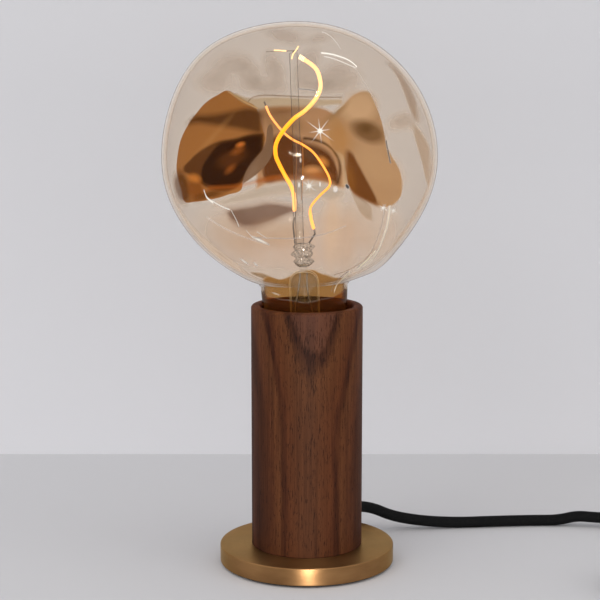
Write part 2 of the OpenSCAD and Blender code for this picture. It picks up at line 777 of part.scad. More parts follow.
module switch_cover() {
    top = switch_h - split_z;
    window_l = 2 * (rocker_r + apart);
    window_w = rocker_w + 2 * apart;
    color([0.06, 0.06, 0.06]) in_switch() difference() {
        translate([0, 0, split_z]) union() {
            difference() {
                union() {
                    plain_box(switch_l, switch_w, corner_r, top - 1.5);
                    translate([0, 0, top - 1.51])
                        plain_box(switch_l - 3, switch_w - 3, corner_r - 1.5, 1.51);
                }
                translate([0, 0, -1])
                    plain_box(switch_l - 2 * switch_wall, switch_w - 2 * switch_wall,
                        corner_r - switch_wall, top - switch_wall + 1);
            }
            for (y = [-1, 1]) translate([0, y * (rocker_w / 2 + apart + 1.25), pivot_z - split_z])
                cube([6, 2.5, 6], center = true);
            for (x = [-1, 1]) translate([x * switch_screw_x, 0, 4.2 - split_z])
                cylinder(r = 3.2, h = switch_h - 4.2 - switch_wall + 0.1);
        }
        translate([0, 0, switch_h]) cube([window_l, window_w, 30], center = true);
        translate([0, 0, pivot_z]) rotate([90, 0, 0])
            cylinder(r = pivot_r + 0.02, h = rocker_w + 6, center = true);
        for (x = [-1, 1]) translate([x * switch_screw_x, 0, 0])
            cylinder(r = 1.5 + close, h = 14);
        switch_gland();
    }
}

module switch_boots() {
    start = switch_l / 2;
    color([0.05, 0.05, 0.05]) in_switch() for (side = [-1, 1])
        translate([0, 0, switch_exit_z]) rotate([0, side * 90, 0]) rotate_extrude() polygon([
            [cord_r + close, start - 4], [cord_r + 1, start - 4], [cord_r + 1, start],
            [cord_r + 2.5, start + 0.05], [cord_r + 2, start + 2.5],
            [cord_r + 0.7, start + switch_boot_l], [cord_r + close, start + switch_boot_l]]);
}

module switch_pivot() {
    color([0.75, 0.75, 0.76]) in_switch() translate([0, 0, pivot_z]) rotate([90, 0, 0])
        cylinder(r = pivot_r, h = rocker_w + 2 * apart + 4.6, center = true);
}

module switch_rocker() {
    flank = rocker_r * 2;
    color([0.09, 0.09, 0.09]) in_switch() translate([0, 0, pivot_z]) rotate([0, rocker_tilt, 0])
        difference() {
            rotate([90, 0, 0]) intersection() {
                cylinder(r = rocker_r, h = rocker_w, center = true);
                linear_extrude(rocker_w, center = true) polygon([
                    [-flank, 8.2], [0, 5.4], [flank, 8.2], [flank, 0.5], [3.2, -2.4],
                    [-3.2, -2.4], [-flank, 0.5]]);
            }
            rotate([90, 0, 0]) cylinder(r = pivot_r + fit_gap, h = rocker_w + 2, center = true);
        }
}

// Two terminals on the floor of the switch and the spring blade under the rocker
module switch_contacts() {
    color([0.8, 0.72, 0.5]) in_switch() translate([0, 0, switch_wall]) {
        for (x = [-1, 1]) {
            translate([x * 17 - 3.5, -7, 0]) cube([7, 4.5, 4.5]);
            translate([x * 17, -4.75, 4.49]) cylinder(r = 1.6, h = 1.4);
        }
        translate([-14, -6.5, 0]) cube([10.5, 3.4, 0.5]);
        translate([-4, -6.5, 0]) cube([0.5, 3.4, 2.6]);
        translate([-4, -6.5, 2.1]) cube([10, 3.4, 0.5]);
        translate([5.5, -6.5, 0]) cube([8.1, 3.4, 0.5]);
        translate([5.5, -6.5, 0]) cube([2, 3.4, 1.8]);
    }
}

module switch_screws() {
    color([0.75, 0.75, 0.76]) in_switch() for (x = [-1, 1])
        translate([x * switch_screw_x, 0, 1.6]) rotate([180, 0, 0]) screw(1.5, 10.5, 2.6, 1.5);
}

// ---------- three-pin plug ----------

plug_split = 8.5;
pin_step = 11.1;
earth_pin_x = -13;
line_pin_x = 9.2;

module in_plug() {
    translate(plug_at) children();
}

// Outline of the plug's body: square shoulders by the cord, drawn in at the far end
module plug_outline(inset) {
    l = plug_l / 2 - inset;
    w = plug_w / 2 - inset;
    r = 7;
    end_w = w - 9;
    hull() {
        for (y = [-1, 1]) {
            translate([l - r, y * (w - r)]) circle(r, $fn = 32);
            translate([-4, y * (w - r)]) circle(r, $fn = 32);
            translate([r - l, y * (end_w - r)]) circle(r, $fn = 32);
        }
    }
}

module plug_base() {
    color([0.05, 0.05, 0.05]) in_plug() difference() {
        translate([0, 0, plug_split]) union() {
            linear_extrude(plug_t - plug_split - 1.2) plug_outline(0);
            translate([0, 0, plug_t - plug_split - 1.21]) linear_extrude(1.21) plug_outline(1.2);
        }
        translate([0, 0, plug_split - 1]) linear_extrude(plug_t - plug_split - 2.4)
            plug_outline(3);
        pin_places() pin_bar(close, 40);
        plug_mouth();
        plug_screw_hole();
    }
}

module plug_cover() {
    color([0.05, 0.05, 0.05]) in_plug() difference() {
        linear_extrude(plug_split) plug_outline(0);
        translate([0, 0, 2.6]) linear_extrude(plug_split) plug_outline(2.4);
        plug_mouth();
    }
    color([0.05, 0.05, 0.05]) in_plug() difference() {
        translate([plug_screw_x, 0, 2.5]) cylinder(r = 3.2, h = plug_split - 2.5);
        translate([plug_screw_x, 0, 3.5]) cylinder(r = 1.5 + close, h = 20);
    }
}

plug_screw_x = -2;

module plug_screw_hole() {
    translate([plug_screw_x, 0, 0]) cylinder(r = 1.5 + close, h = 60);
    translate([plug_screw_x, 0, plug_t - 1.6]) cylinder(r = 3.2, h = 10);
}

module plug_screw() {
    color([0.75, 0.75, 0.76]) in_plug() translate([plug_screw_x, 0, plug_t - 1.6])
        screw(1.5, plug_t - 6.5, 3, 1.4);
}

module plug_mouth() {
    translate([plug_l / 2 - 6, 0, plug_cord_z]) rotate([0, 90, 0])
        cylinder(r = cord_r + 1.1, h = 20);
}

module plug_boot() {
    start = plug_l / 2;
    color([0.05, 0.05, 0.05]) in_plug() translate([0, 0, plug_cord_z]) rotate([0, 90, 0])
        rotate_extrude() polygon([
            [cord_r + close, start - 5], [cord_r + 1, start - 5], [cord_r + 1, start],
            [cord_r + 3, start + 0.05], [cord_r + 2.6, start + 3],
            [cord_r + 0.7, start + plug_boot_l], [cord_r + close, start + plug_boot_l]]);
}

// The pins stand square out of the base: the long one far from the cord
module pin_places() {
    translate([earth_pin_x, 0, 0]) children();
    for (y = [-1, 1]) translate([line_pin_x, y * pin_step, 0]) rotate([0, 0, 90]) children();
}

module pin_bar(gap, h) {
    translate([-4 - gap, -2 - gap, plug_t - 7]) cube([8 + 2 * gap, 4 + 2 * gap, h]);
}

module plug_pins() {
    color([0.8, 0.72, 0.45]) in_plug() {
        translate([earth_pin_x, 0, 0]) pin_bar(0, 7 + 22.7);
        for (y = [-1, 1]) translate([line_pin_x, y * pin_step, 0]) rotate([0, 0, 90])
            pin_bar(0, 7 + 17.7);
    }
}

module plug_fuse() {
    color([0.9, 0.9, 0.86]) in_plug() translate([-7, pin_step + 1, 2.6 + 3.2])
        rotate([0, 90, 0]) {
            cylinder(r = 3.1, h = 25.4);
            cylinder(r = 3.15, h = 5.5);
            translate([0, 0, 19.9]) cylinder(r = 3.15, h = 5.5);
        }
}

base_pad();
base_plate();
base_screws();
wood_body();
cord_boot();
cord_entry();
clamp_saddle();
clamp_bridge();
clamp_screws();
earth_tag();
earth_screw();
wire_live();
wire_neutral();
wire_earth();
nipple();
nipple_washers();
nipple_nut();
holder_cup();
holder_shell();
holder_block();
holder_liner();
tip_spring();
side_spring();
terminal_screws();
bulb_tip_contact();
bulb_insulator();
bulb_cap();
bulb_driver();
bulb_glass();
bulb_stem();
support_rod();
hook_wire();
lead_wires();
filament_front();
filament_back();
filament_clips();
cord_lead();
switch_base();
switch_cover();
switch_boots();
switch_pivot();
switch_contacts();
switch_screws();
switch_rocker();
cord_link();
cord_coil();
cord_tail();
plug_boot();
plug_base();
plug_cover();
plug_pins();
plug_fuse();
plug_screw();
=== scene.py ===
"""A bare bulb table lamp: a walnut cylinder on a brass disc, a large bulb of blown lustre glass with
glowing strands, and a braided cord with an inline switch. Sizes are millimetres and are scaled once,
when a mesh is made. Pixel places are those of the photograph's 600 by 600 frame."""

from __future__ import annotations

import logging
import math
from dataclasses import dataclass, field
from enum import Enum
from functools import cached_property
from typing import Any, Callable, Sequence

import bpy
import numpy as np
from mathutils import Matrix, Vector

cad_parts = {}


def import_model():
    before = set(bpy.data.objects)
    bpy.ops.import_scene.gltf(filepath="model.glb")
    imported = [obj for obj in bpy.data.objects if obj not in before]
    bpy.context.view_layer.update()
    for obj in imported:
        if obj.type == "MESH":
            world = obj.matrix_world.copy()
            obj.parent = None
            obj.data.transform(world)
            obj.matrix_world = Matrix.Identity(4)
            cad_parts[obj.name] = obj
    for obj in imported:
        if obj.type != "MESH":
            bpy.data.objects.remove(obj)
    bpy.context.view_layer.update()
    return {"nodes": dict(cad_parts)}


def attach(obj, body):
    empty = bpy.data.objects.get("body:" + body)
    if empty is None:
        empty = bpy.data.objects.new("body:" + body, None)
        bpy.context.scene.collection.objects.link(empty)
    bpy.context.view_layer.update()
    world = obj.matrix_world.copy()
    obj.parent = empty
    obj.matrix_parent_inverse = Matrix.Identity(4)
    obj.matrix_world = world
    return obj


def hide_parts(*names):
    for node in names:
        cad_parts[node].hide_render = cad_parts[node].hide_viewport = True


LOG = logging.getLogger("lamp")
MM = 0.001
Colour = tuple[float, float, float]
Point = tuple[float, float, float]
Pair = tuple[float, float]
Pixel = Pair


def rgb(red: float, green: float, blue: float) -> Colour:
    """The scene's linear colour of an 8-bit screen colour: ((c + 0.055) / 1.055) to the power 2.4."""
    return tuple(
        c / 12.92 if c <= 0.04045 else ((c + 0.055) / 1.055) ** 2.4
        for c in (red / 255, green / 255, blue / 255)
    )


# ---------- shapes as arrays ----------


def smooth01(t: np.ndarray) -> np.ndarray:
    """An ease from 0 to 1: 3 t squared less 2 t cubed, with t held between 0 and 1."""
    c = np.clip(t, 0, 1)
    return c * c * (3 - 2 * c)


def toward(around: Any, rise: Any) -> np.ndarray:
    """The unit vector at an angle a round +Z and a rise e, in radians: (cos e cos a, cos e sin a, sin e)."""
    return np.stack([np.cos(rise) * np.cos(around), np.cos(rise) * np.sin(around), np.sin(rise)], -1)


def through(points: Sequence[Sequence[float]], steps: int) -> np.ndarray:
    """A smooth route through points, by Catmull and Rom's cubic: each stretch from b to c leaves along
    c - a and arrives along d - b, halved.

    Args:
        points: The route's own points.
        steps: The number of parts that each stretch is cut into.

    Returns:
        The finer route, an array of points.
    """
    p = np.asarray(points, float)
    e = np.vstack([p[:1], p, p[-1:]])
    a, b, c, d = e[:-3, None], e[1:-2, None], e[2:-1, None], e[3:, None]
    t = (np.arange(steps) / steps)[None, :, None]
    fine = 0.5 * (
        2 * b + (c - a) * t + (2 * a - 5 * b + 4 * c - d) * t**2 + (3 * b - a - 3 * c + d) * t**3
    )
    return np.vstack([fine.reshape(-1, p.shape[1]), p[-1:]])


class Skin:
    """A closed skin of quads over rings of points, kept as arrays until its mesh is made."""

    def __init__(self) -> None:
        """Starts with no points and no faces."""
        self.points: list[np.ndarray] = []
        self.faces: list[np.ndarray] = []
        self.marks: list[np.ndarray] = []
        self.slots: list[np.ndarray] = []
        self.count = 0

    def add(self, rings: np.ndarray, ends: bool = True, length: float = 1.0, slot: Any = 0) -> "Skin":
        """Adds one tube of rings, closed round each ring, and at both ends by fans to their middles.

        Args:
            rings: Points of shape (rings, points in a ring, 3).
            ends: Whether the first and last ring are closed.
            length: What the map's second coordinate reaches at the last ring.
            slot: The material slot of the faces, or slots for their rows and columns.

        Returns:
            This skin.
        """
        m, n = rings.shape[:2]
        slots = np.broadcast_to(slot, (m - 1, n))
        j, k = np.meshgrid(np.arange(m - 1), np.arange(n), indexing="ij")
        far = (k + 1) % n
        quads = np.stack([j * n + k, j * n + far, (j + 1) * n + far, (j + 1) * n + k], -1)
        along = np.linspace(0, length, m)
        u = np.stack([k, k + 1, k + 1, k], -1) / n
        v = np.stack([along[j], along[j], along[j + 1], along[j + 1]], -1)
        self._keep(quads.reshape(-1, 4), np.stack([u, v], -1).reshape(-1, 4, 2), slots.reshape(-1))
        self.points.append(rings.reshape(-1, 3))
        if ends:
            for row, way in ((0, -1), (m - 1, 1)):
                middle = m * n + (row > 0)
                a = row * n + np.arange(n)
                b = row * n + (np.arange(n) + 1) % n
                fan = np.stack([a, b, np.full(n, middle)][::way], -1)
                self._keep(fan, np.full((n, 3, 2), [0.5, along[row]]), slots[min(row, m - 2)])
                self.points.append(rings[row].mean(0, keepdims=True))
        self.count = sum(len(p) for p in self.points)
        return self

    def _keep(self, faces: np.ndarray, marks: np.ndarray, slot: Any) -> None:
        """Stores faces, whose numbers count from this skin's last point, with their map and slot."""
        self.faces.append(faces + self.count)
        self.marks.append(marks)
        self.slots.append(np.broadcast_to(slot, len(faces)))

    def piece(self, name: str, *materials: bpy.types.Material, sharp: float = 40) -> bpy.types.Object:
        """Makes the piece, at the origin, in metres.

        Args:
            name: The piece's name.
            materials: One material for each slot.
            sharp: The angle in degrees above which an edge stays sharp.

        Returns:
            The new object, linked to the scene.
        """
        mesh = bpy.data.meshes.new(name)
        points = np.concatenate(self.points) * MM
        sizes = np.concatenate([np.full(len(f), f.shape[1]) for f in self.faces])
        corners = np.concatenate([f.reshape(-1) for f in self.faces])
        mesh.vertices.add(len(points))
        mesh.vertices.foreach_set("co", points.reshape(-1).astype(np.float32))
        mesh.loops.add(len(corners))
        mesh.loops.foreach_set("vertex_index", corners.astype(np.int32))
        mesh.polygons.add(len(sizes))
        starts = np.concatenate([[0], np.cumsum(sizes)[:-1]])
        mesh.polygons.foreach_set("loop_start", starts.astype(np.int32))
        mesh.polygons.foreach_set("material_index", np.concatenate(self.slots).astype(np.int32))
        mesh.polygons.foreach_set("use_smooth", np.ones(len(sizes), bool))
        layer = mesh.uv_layers.new(name="Surface")
        marks = np.concatenate([u.reshape(-1, 2) for u in self.marks])
        layer.data.foreach_set("uv", marks.reshape(-1).astype(np.float32))
        mesh.update(calc_edges=True)
        mesh.validate()
        mesh.set_sharp_from_angle(angle=math.radians(sharp))
        for material in materials:
            mesh.materials.append(material)
        made = bpy.data.objects.new(name, mesh)
        bpy.context.scene.collection.objects.link(made)
        LOG.info("%s: %d faces", name, len(sizes))
        return made


def turned(profile: Sequence[Pair], sides: int) -> np.ndarray:
    """Rings of a turned form: each (r, z) of the profile swept round +Z as (r cos a, r sin a, z)."""
    p = np.asarray(profile, float)
    a = np.linspace(0, 2 * np.pi, sides, endpoint=False)
    wide = p[:, 0, None]
    high = np.broadcast_to(p[:, 1, None], (len(p), sides))
    return np.stack([wide * np.cos(a), wide * np.sin(a), high], -1)


def swept(route: np.ndarray, radius: Any, sides: int, up: Sequence[float] = (0, 0, 1)) -> np.ndarray:
    """Rings of a tube along a route: at each point a circle in the plane square to the heading h,
    spanned by s = h cross up and s cross h.

    Args:
        route: The tube's middle line.
        radius: One radius, or one for each point.
        sides: The points in each ring.
        up: A direction that the route never takes.

    Returns:
        The rings, of shape (points, sides, 3).
    """
    heading = np.gradient(route, axis=0)
    heading /= np.linalg.norm(heading, axis=1, keepdims=True)
    side = np.cross(heading, np.asarray(up, float))
    side /= np.linalg.norm(side, axis=1, keepdims=True)
    top = np.cross(side, heading)
    a = np.linspace(0, 2 * np.pi, sides, endpoint=False)[None, :, None]
    wide = np.broadcast_to(np.asarray(radius, float), len(route))[:, None, None]
    return route[:, None] - wide * (np.cos(a) * top[:, None] + np.sin(a) * side[:, None])


# Directions that no strand and no wire takes
NEARLY_UP, NEARLY_BACK = (0.1, 0.05, 1.0), (0.1, 1.0, 0.05)


def arc(centre: Pair, radius: float, start: float, stop: float, steps: int = 8) -> list[Pair]:
    """Points of a round corner: centre + radius (cos a, sin a), with a from start to stop degrees."""
    turn = np.radians(np.linspace(start, stop, steps))
    return [(centre[0] + radius * math.cos(a), centre[1] + radius * math.sin(a)) for a in turn]


def measured(route: np.ndarray) -> float:
    """A route's length: the sum of the distances between its points."""
    return float(np.linalg.norm(np.diff(route, axis=0), axis=1).sum())


# ---------- shader maths ----------


class Value:
    """A number that varies over a surface: Python's operators on it add Math nodes."""

    def __init__(self, shader: "Shader", socket: bpy.types.NodeSocket) -> None:
        """Wraps one output socket of a shader's nodes."""
        self.shader = shader
        self.socket = socket

    def math(self, operation: str, *others: Any, flip: bool = False) -> "Value":
        """Adds a Math node for this value and others, the other way round if flip is set."""
        terms = [self, *others][:: -1 if flip else 1]
        made = self.shader.node("ShaderNodeMath", {"operation": operation}, dict(enumerate(terms)))
        return Value(self.shader, made.outputs[0])

    def __add__(self, other: Any) -> "Value":
        """The sum."""
        return self.math("ADD", other)

    __radd__ = __add__

    def __sub__(self, other: Any) -> "Value":
        """The difference."""
        return self.math("SUBTRACT", other)

    def __rsub__(self, other: Any) -> "Value":
        """The difference from a plain number."""
        return self.math("SUBTRACT", other, flip=True)

    def __mul__(self, other: Any) -> "Value":
        """The product."""
        return self.math("MULTIPLY", other)

    __rmul__ = __mul__

    def __truediv__(self, other: Any) -> "Value":
        """The quotient."""
        return self.math("DIVIDE", other)

    def __pow__(self, other: Any) -> "Value":
        """The power."""
        return self.math("POWER", other)

    def size(self) -> "Value":
        """The value without its sign."""
        return self.math("ABSOLUTE")

    def held(self) -> "Value":
        """The value held between 0 and 1."""
        made = self.math("ADD", 0.0)
        made.socket.node.use_clamp = True
        return made

    def step(self, edge: float, soft: float) -> "Value":
        """0 below edge and 1 above it, over a ramp that is soft wide: (value - edge) / soft + 0.5."""
        return ((self - edge) / soft + 0.5).held()


class Shader:
    """A node material: nodes come from one method, and numbers from Python expressions."""

    def __init__(self, name: str) -> None:
        """Makes an empty node material of this name."""
        self.material = bpy.data.materials.new(name)
        self.material.use_nodes = True
        self.tree = self.material.node_tree
        self.tree.nodes.clear()

    def node(self, kind: str, settings: dict | None = None, inputs: dict | None = None) -> Any:
        """Adds a node.

        Args:
            kind: The node's type.
            settings: Its properties, which are set first; "stops" are a ramp's places and colours.
            inputs: Plain values or links, by socket name or number.

        Returns:
            The node.
        """
        made = self.tree.nodes.new(kind)
        for key, value in (settings or {}).items():
            if key == "stops":
                self._stops(made.color_ramp, value)
            else:
                setattr(made, key, value)
        for key, value in (inputs or {}).items():
            target = made.inputs[key]
            source = value.socket if isinstance(value, Value) else value
            if isinstance(source, bpy.types.NodeSocket):
                self.tree.links.new(source, target)
            elif isinstance(source, tuple) and target.type == "RGBA":
                target.default_value = (*source, 1.0)
            else:
                target.default_value = source
        return made

    @staticmethod
    def _stops(ramp: bpy.types.ColorRamp, stops: Sequence[tuple[float, Colour]]) -> None:
        """Sets a ramp's stops, each a place from 0 to 1 and a colour."""
        while len(ramp.elements) < len(stops):
            ramp.elements.new(0.5)
        for element, (place, colour) in zip(ramp.elements, sorted(stops)):
            element.position = place
            element.color = (*colour, 1.0)

    @cached_property
    def axes(self) -> tuple[Value, Value, Value]:
        """The piece's own x, y and z in millimetres."""
        coordinates = self.node("ShaderNodeTexCoord").outputs["Object"]
        parts = self.node("ShaderNodeSeparateXYZ", None, {0: coordinates}).outputs
        return tuple(Value(self, part) * (1 / MM) for part in parts)

    def surface_map(self) -> tuple[Value, Value]:
        """The piece's own map: once round the surface, and the distance along it."""
        coordinates = self.node("ShaderNodeUVMap", {"uv_map": "Surface"}).outputs[0]
        parts = self.node("ShaderNodeSeparateXYZ", None, {0: coordinates}).outputs
        return Value(self, parts[0]), Value(self, parts[1])

    def place(self, x: Any, y: Any, z: Any) -> bpy.types.NodeSocket:
        """A vector from three numbers."""
        return self.node("ShaderNodeCombineXYZ", None, {0: x, 1: y, 2: z}).outputs[0]

    def noise(self, where: Any, scale: float = 1.0, detail: float = 3.0, rough: float = 0.5) -> Value:
        """Soft noise around 0.5 at a place."""
        inputs = {"Vector": where, "Scale": scale, "Detail": detail, "Roughness": rough}
        return Value(self, self.node("ShaderNodeTexNoise", None, inputs).outputs[0])

    def grain(self, wide: float, high: float, detail: float = 3.0, rough: float = 0.5) -> Value:
        """Soft noise around 0.5 in the piece's own space.

        Args:
            wide: The swells in a millimetre of x and of y.
            high: The swells in a millimetre of z.
            detail: The finer layers.
            rough: How strong they are.

        Returns:
            The noise.
        """
        x, y, z = self.axes
        return self.noise(self.place(x * wide, y * wide, z * high), 1.0, detail, rough)

    def ramp(self, value: Any, *stops: tuple[float, Colour]) -> bpy.types.NodeSocket:
        """A colour that changes with a value."""
        return self.node("ShaderNodeValToRGB", {"stops": stops}, {0: value}).outputs[0]

    def blend(self, part: Any, first: Any, second: Any) -> bpy.types.NodeSocket:
        """Two colours mixed by a part: the first at 0 and the second at 1."""
        made = self.node("ShaderNodeMix", {"data_type": "RGBA"}, {0: part, 6: first, 7: second})
        return made.outputs[2]

    def curve(self, value: Value, points: Sequence[Pair]) -> Value:
        """A smooth function of a value through points, all between 0 and 1."""
        made = self.node("ShaderNodeFloatCurve", None, {"Value": value})
        line = made.mapping.curves[0].points
        ends = sorted(points)
        while len(line) < len(ends):
            line.new(0.5, 0.5)
        for point, where in zip(line, ends):
            point.location = where
        made.mapping.extend = "HORIZONTAL"
        made.mapping.update()
        return Value(self, made.outputs[0])

    def bump(self, height: Any, depth: float, strength: float = 1.0) -> bpy.types.NodeSocket:
        """A normal from a height between 0 and 1 that stands for a depth in millimetres."""
        inputs = {"Height": height, "Distance": depth * MM, "Strength": strength}
        return self.node("ShaderNodeBump", None, inputs).outputs[0]

    def solid(self, **inputs: Any) -> bpy.types.NodeSocket:
        """A Principled shader, its sockets named with underscores for spaces."""
        named = {key.replace("_", " "): value for key, value in inputs.items()}
        return self.node("ShaderNodeBsdfPrincipled", None, named).outputs[0]

    def mixed(self, part: Any, first: Any, second: Any) -> bpy.types.NodeSocket:
        """Two shaders mixed by a part."""
        return self.node("ShaderNodeMixShader", None, {0: part, 1: first, 2: second}).outputs[0]

    def edge_on(self) -> Value:
        """How nearly edge on a surface is seen: 0 where it faces the eye and 1 where it is edge on."""
        return Value(self, self.node("ShaderNodeLayerWeight", None, {"Blend": 0.5}).outputs["Facing"])

    def clear(self, tint: Colour = (1.0, 1.0, 1.0)) -> bpy.types.NodeSocket:
        """A shader that lets the light through, tinted."""
        return self.node("ShaderNodeBsdfTransparent", None, {"Color": tint}).outputs[0]

    def gloss(self, roughness: float, **more: Any) -> bpy.types.NodeSocket:
        """A shader that only reflects."""
        return self.node("ShaderNodeBsdfGlossy", None, {"Roughness": roughness, **more}).outputs[0]

    def done(self, surface: bpy.types.NodeSocket) -> bpy.types.Material:
        """Links the surface to the output and returns the material."""
        self.node("ShaderNodeOutputMaterial", None, {"Surface": surface})
        return self.material


# ---------- the camera, the floor and the light ----------


@dataclass(frozen=True)
class Sight:
    """The photograph's camera: its place, its downward tilt, its focal length in pixels, the frame's width
    in pixels and the pixels that a millimetre takes at the lamp."""

    place: Point = (-4.7, -1100.0, 362.4)
    tilt: float = 0.1611
    focal: float = 1640.8
    frame: float = 600.0
    scale: float = 1.52

    def ray(self, pixel: Pixel) -> np.ndarray:
        """The direction in which the camera sees a pixel: forward 1, right and up by pixels / focal."""
        across = (pixel[0] - self.frame / 2) / self.focal
        rise = (self.frame / 2 - pixel[1]) / self.focal
        c, s = math.cos(self.tilt), math.sin(self.tilt)
        return np.array([across, c + rise * s, rise * c - s])

    def on_globe(self, pixel: Pixel, centre: Point, radii: Point, far: bool) -> Pair:
        """Where a pixel's ray meets an ellipsoid, as the place's x and z.

        Args:
            pixel: The pixel, in the photograph's frame.
            centre: The ellipsoid's centre.
            radii: Its three half widths.
            far: Whether the far wall is meant, and not the near one.

        Returns:
            The x and z of the meeting place; a ray that misses takes the place where it passes nearest.
        """
        o = (np.array(self.place) - centre) / radii
        d = self.ray(pixel) / radii
        a, b, c = d @ d, o @ d, o @ o - 1
        root = math.sqrt(max(b * b - a * c, 0.0))
        t = (-b + (root if far else -root)) / a
        where = np.array(self.place) + t * self.ray(pixel)
        return float(where[0]), float(where[2])


SIGHT = Sight()


@dataclass(frozen=True)
class Lamp:
    """A round lamp: where it stands and aims, its diameter, and its power in watts. One that is seen shows
    in shiny surfaces alone, and any other lights the rest alone."""

    name: str
    place: Point
    aim: Point
    size: float
    power: float
    seen: bool = False

    def build(self) -> None:
        """Adds the lamp to the scene."""
        data = bpy.data.lights.new(self.name, "AREA")
        data.shape = "DISK"
        data.size = self.size * MM
        data.energy = self.power
        lamp = bpy.data.objects.new(self.name, data)
        lamp.location = Vector(self.place) * MM
        way = (Vector(self.aim) - Vector(self.place)).to_track_quat("-Z", "Y")
        lamp.rotation_euler = way.to_euler()
        lamp.visible_glossy = self.seen
        lamp.visible_diffuse = not self.seen
        bpy.context.scene.collection.objects.link(lamp)


@dataclass(frozen=True)
class Studio:
    """The camera, a pale floor with a pale wall behind it, and soft lamps. The wall's colour is dimmed above
    a height and over a softness, as painted shade."""

    wall_y: float = 292.0
    reach: float = 3000.0
    floor_colour: Colour = rgb(203, 203, 206)
    wall_colour: Colour = rgb(229, 229, 233)
    # Painted shade: the share of the wall's colour kept above a height, and that height with its softness.
    dimmed: float = 0.86
    dims_at: Pair = (150.0, 320.0)
    daylight: Colour = (1.0, 0.99, 0.98)
    lamps: tuple[Lamp, ...] = (
        Lamp("key", (-900, -900, 1300), (0, 0, 160), 900, 4.0),
        Lamp("fill", (1200, -700, 800), (0, 0, 160), 900, 1.5),
        Lamp("front", (45, -1250, 30), (0, 0, 10), 90, 14.0, seen=True),
        Lamp("above", (170, -460, 1300), (0, -60, 100), 110, 2.5, seen=True),
    )

    def build(self) -> None:
        """Makes the camera first, then the floor, the wall, the world and the lamps."""
        self._camera()
        self._stage()
        self._world()
        for lamp in self.lamps:
            lamp.build()
        bpy.context.scene.view_settings.view_transform = "Standard"

    def _camera(self) -> None:
        """Places the camera as the photograph has it."""
        data = bpy.data.cameras.new("camera")
        data.sensor_width = 36.0
        data.lens = SIGHT.focal * data.sensor_width / SIGHT.frame
        camera = bpy.data.objects.new("camera", data)
        camera.location = Vector(SIGHT.place) * MM
        camera.rotation_euler = (math.pi / 2 - SIGHT.tilt, 0, 0)
        bpy.context.scene.collection.objects.link(camera)
        bpy.context.scene.camera = camera

    def _stage(self) -> None:
        """Makes the floor, and a wall that shows from the front alone, with painted shade dimming it higher
        up.
        """
        r, y, below = self.reach * MM, self.wall_y * MM, -1.0 * MM
        floor = [(-r, -r, 0), (r, -r, 0), (r, r, 0), (-r, r, 0)]
        wall = [(r, y, below), (r, y, r), (-r, y, r), (-r, y, below)]
        for name, corners, colour, upright in (
            ("floor", floor, self.floor_colour, False),
            ("backdrop", wall, self.wall_colour, True),
        ):
            mesh = bpy.data.meshes.new(name)
            mesh.from_pydata(corners, [], [(0, 1, 2, 3)])
            made = bpy.data.objects.new(name, mesh)
            bpy.context.scene.collection.objects.link(made)
            shader = Shader(name)
            # Painted shade: the wall's colour is dimmed higher up.
            high = shader.axes[2].step(*self.dims_at) if upright else 0.0
            shade = shader.blend(high, colour, tuple(c * self.dimmed for c in colour))
            surface = shader.solid(Base_Color=shade, Roughness=0.9, Specular_IOR_Level=0.2)
            if upright:
                behind = shader.node("ShaderNodeNewGeometry").outputs["Backfacing"]
                surface = shader.mixed(behind, surface, shader.clear())
            mesh.materials.append(shader.done(surface))

    def _world(self) -> None:
        """Lights everything evenly."""
        world = bpy.data.worlds.new("studio")
        world.use_nodes = True
        world.node_tree.nodes["Background"].inputs["Color"].default_value = (*self.daylight, 1.0)
        world.node_tree.nodes["Background"].inputs["Strength"].default_value = 1.0
        bpy.context.scene.world = world


# ---------- finishes ----------


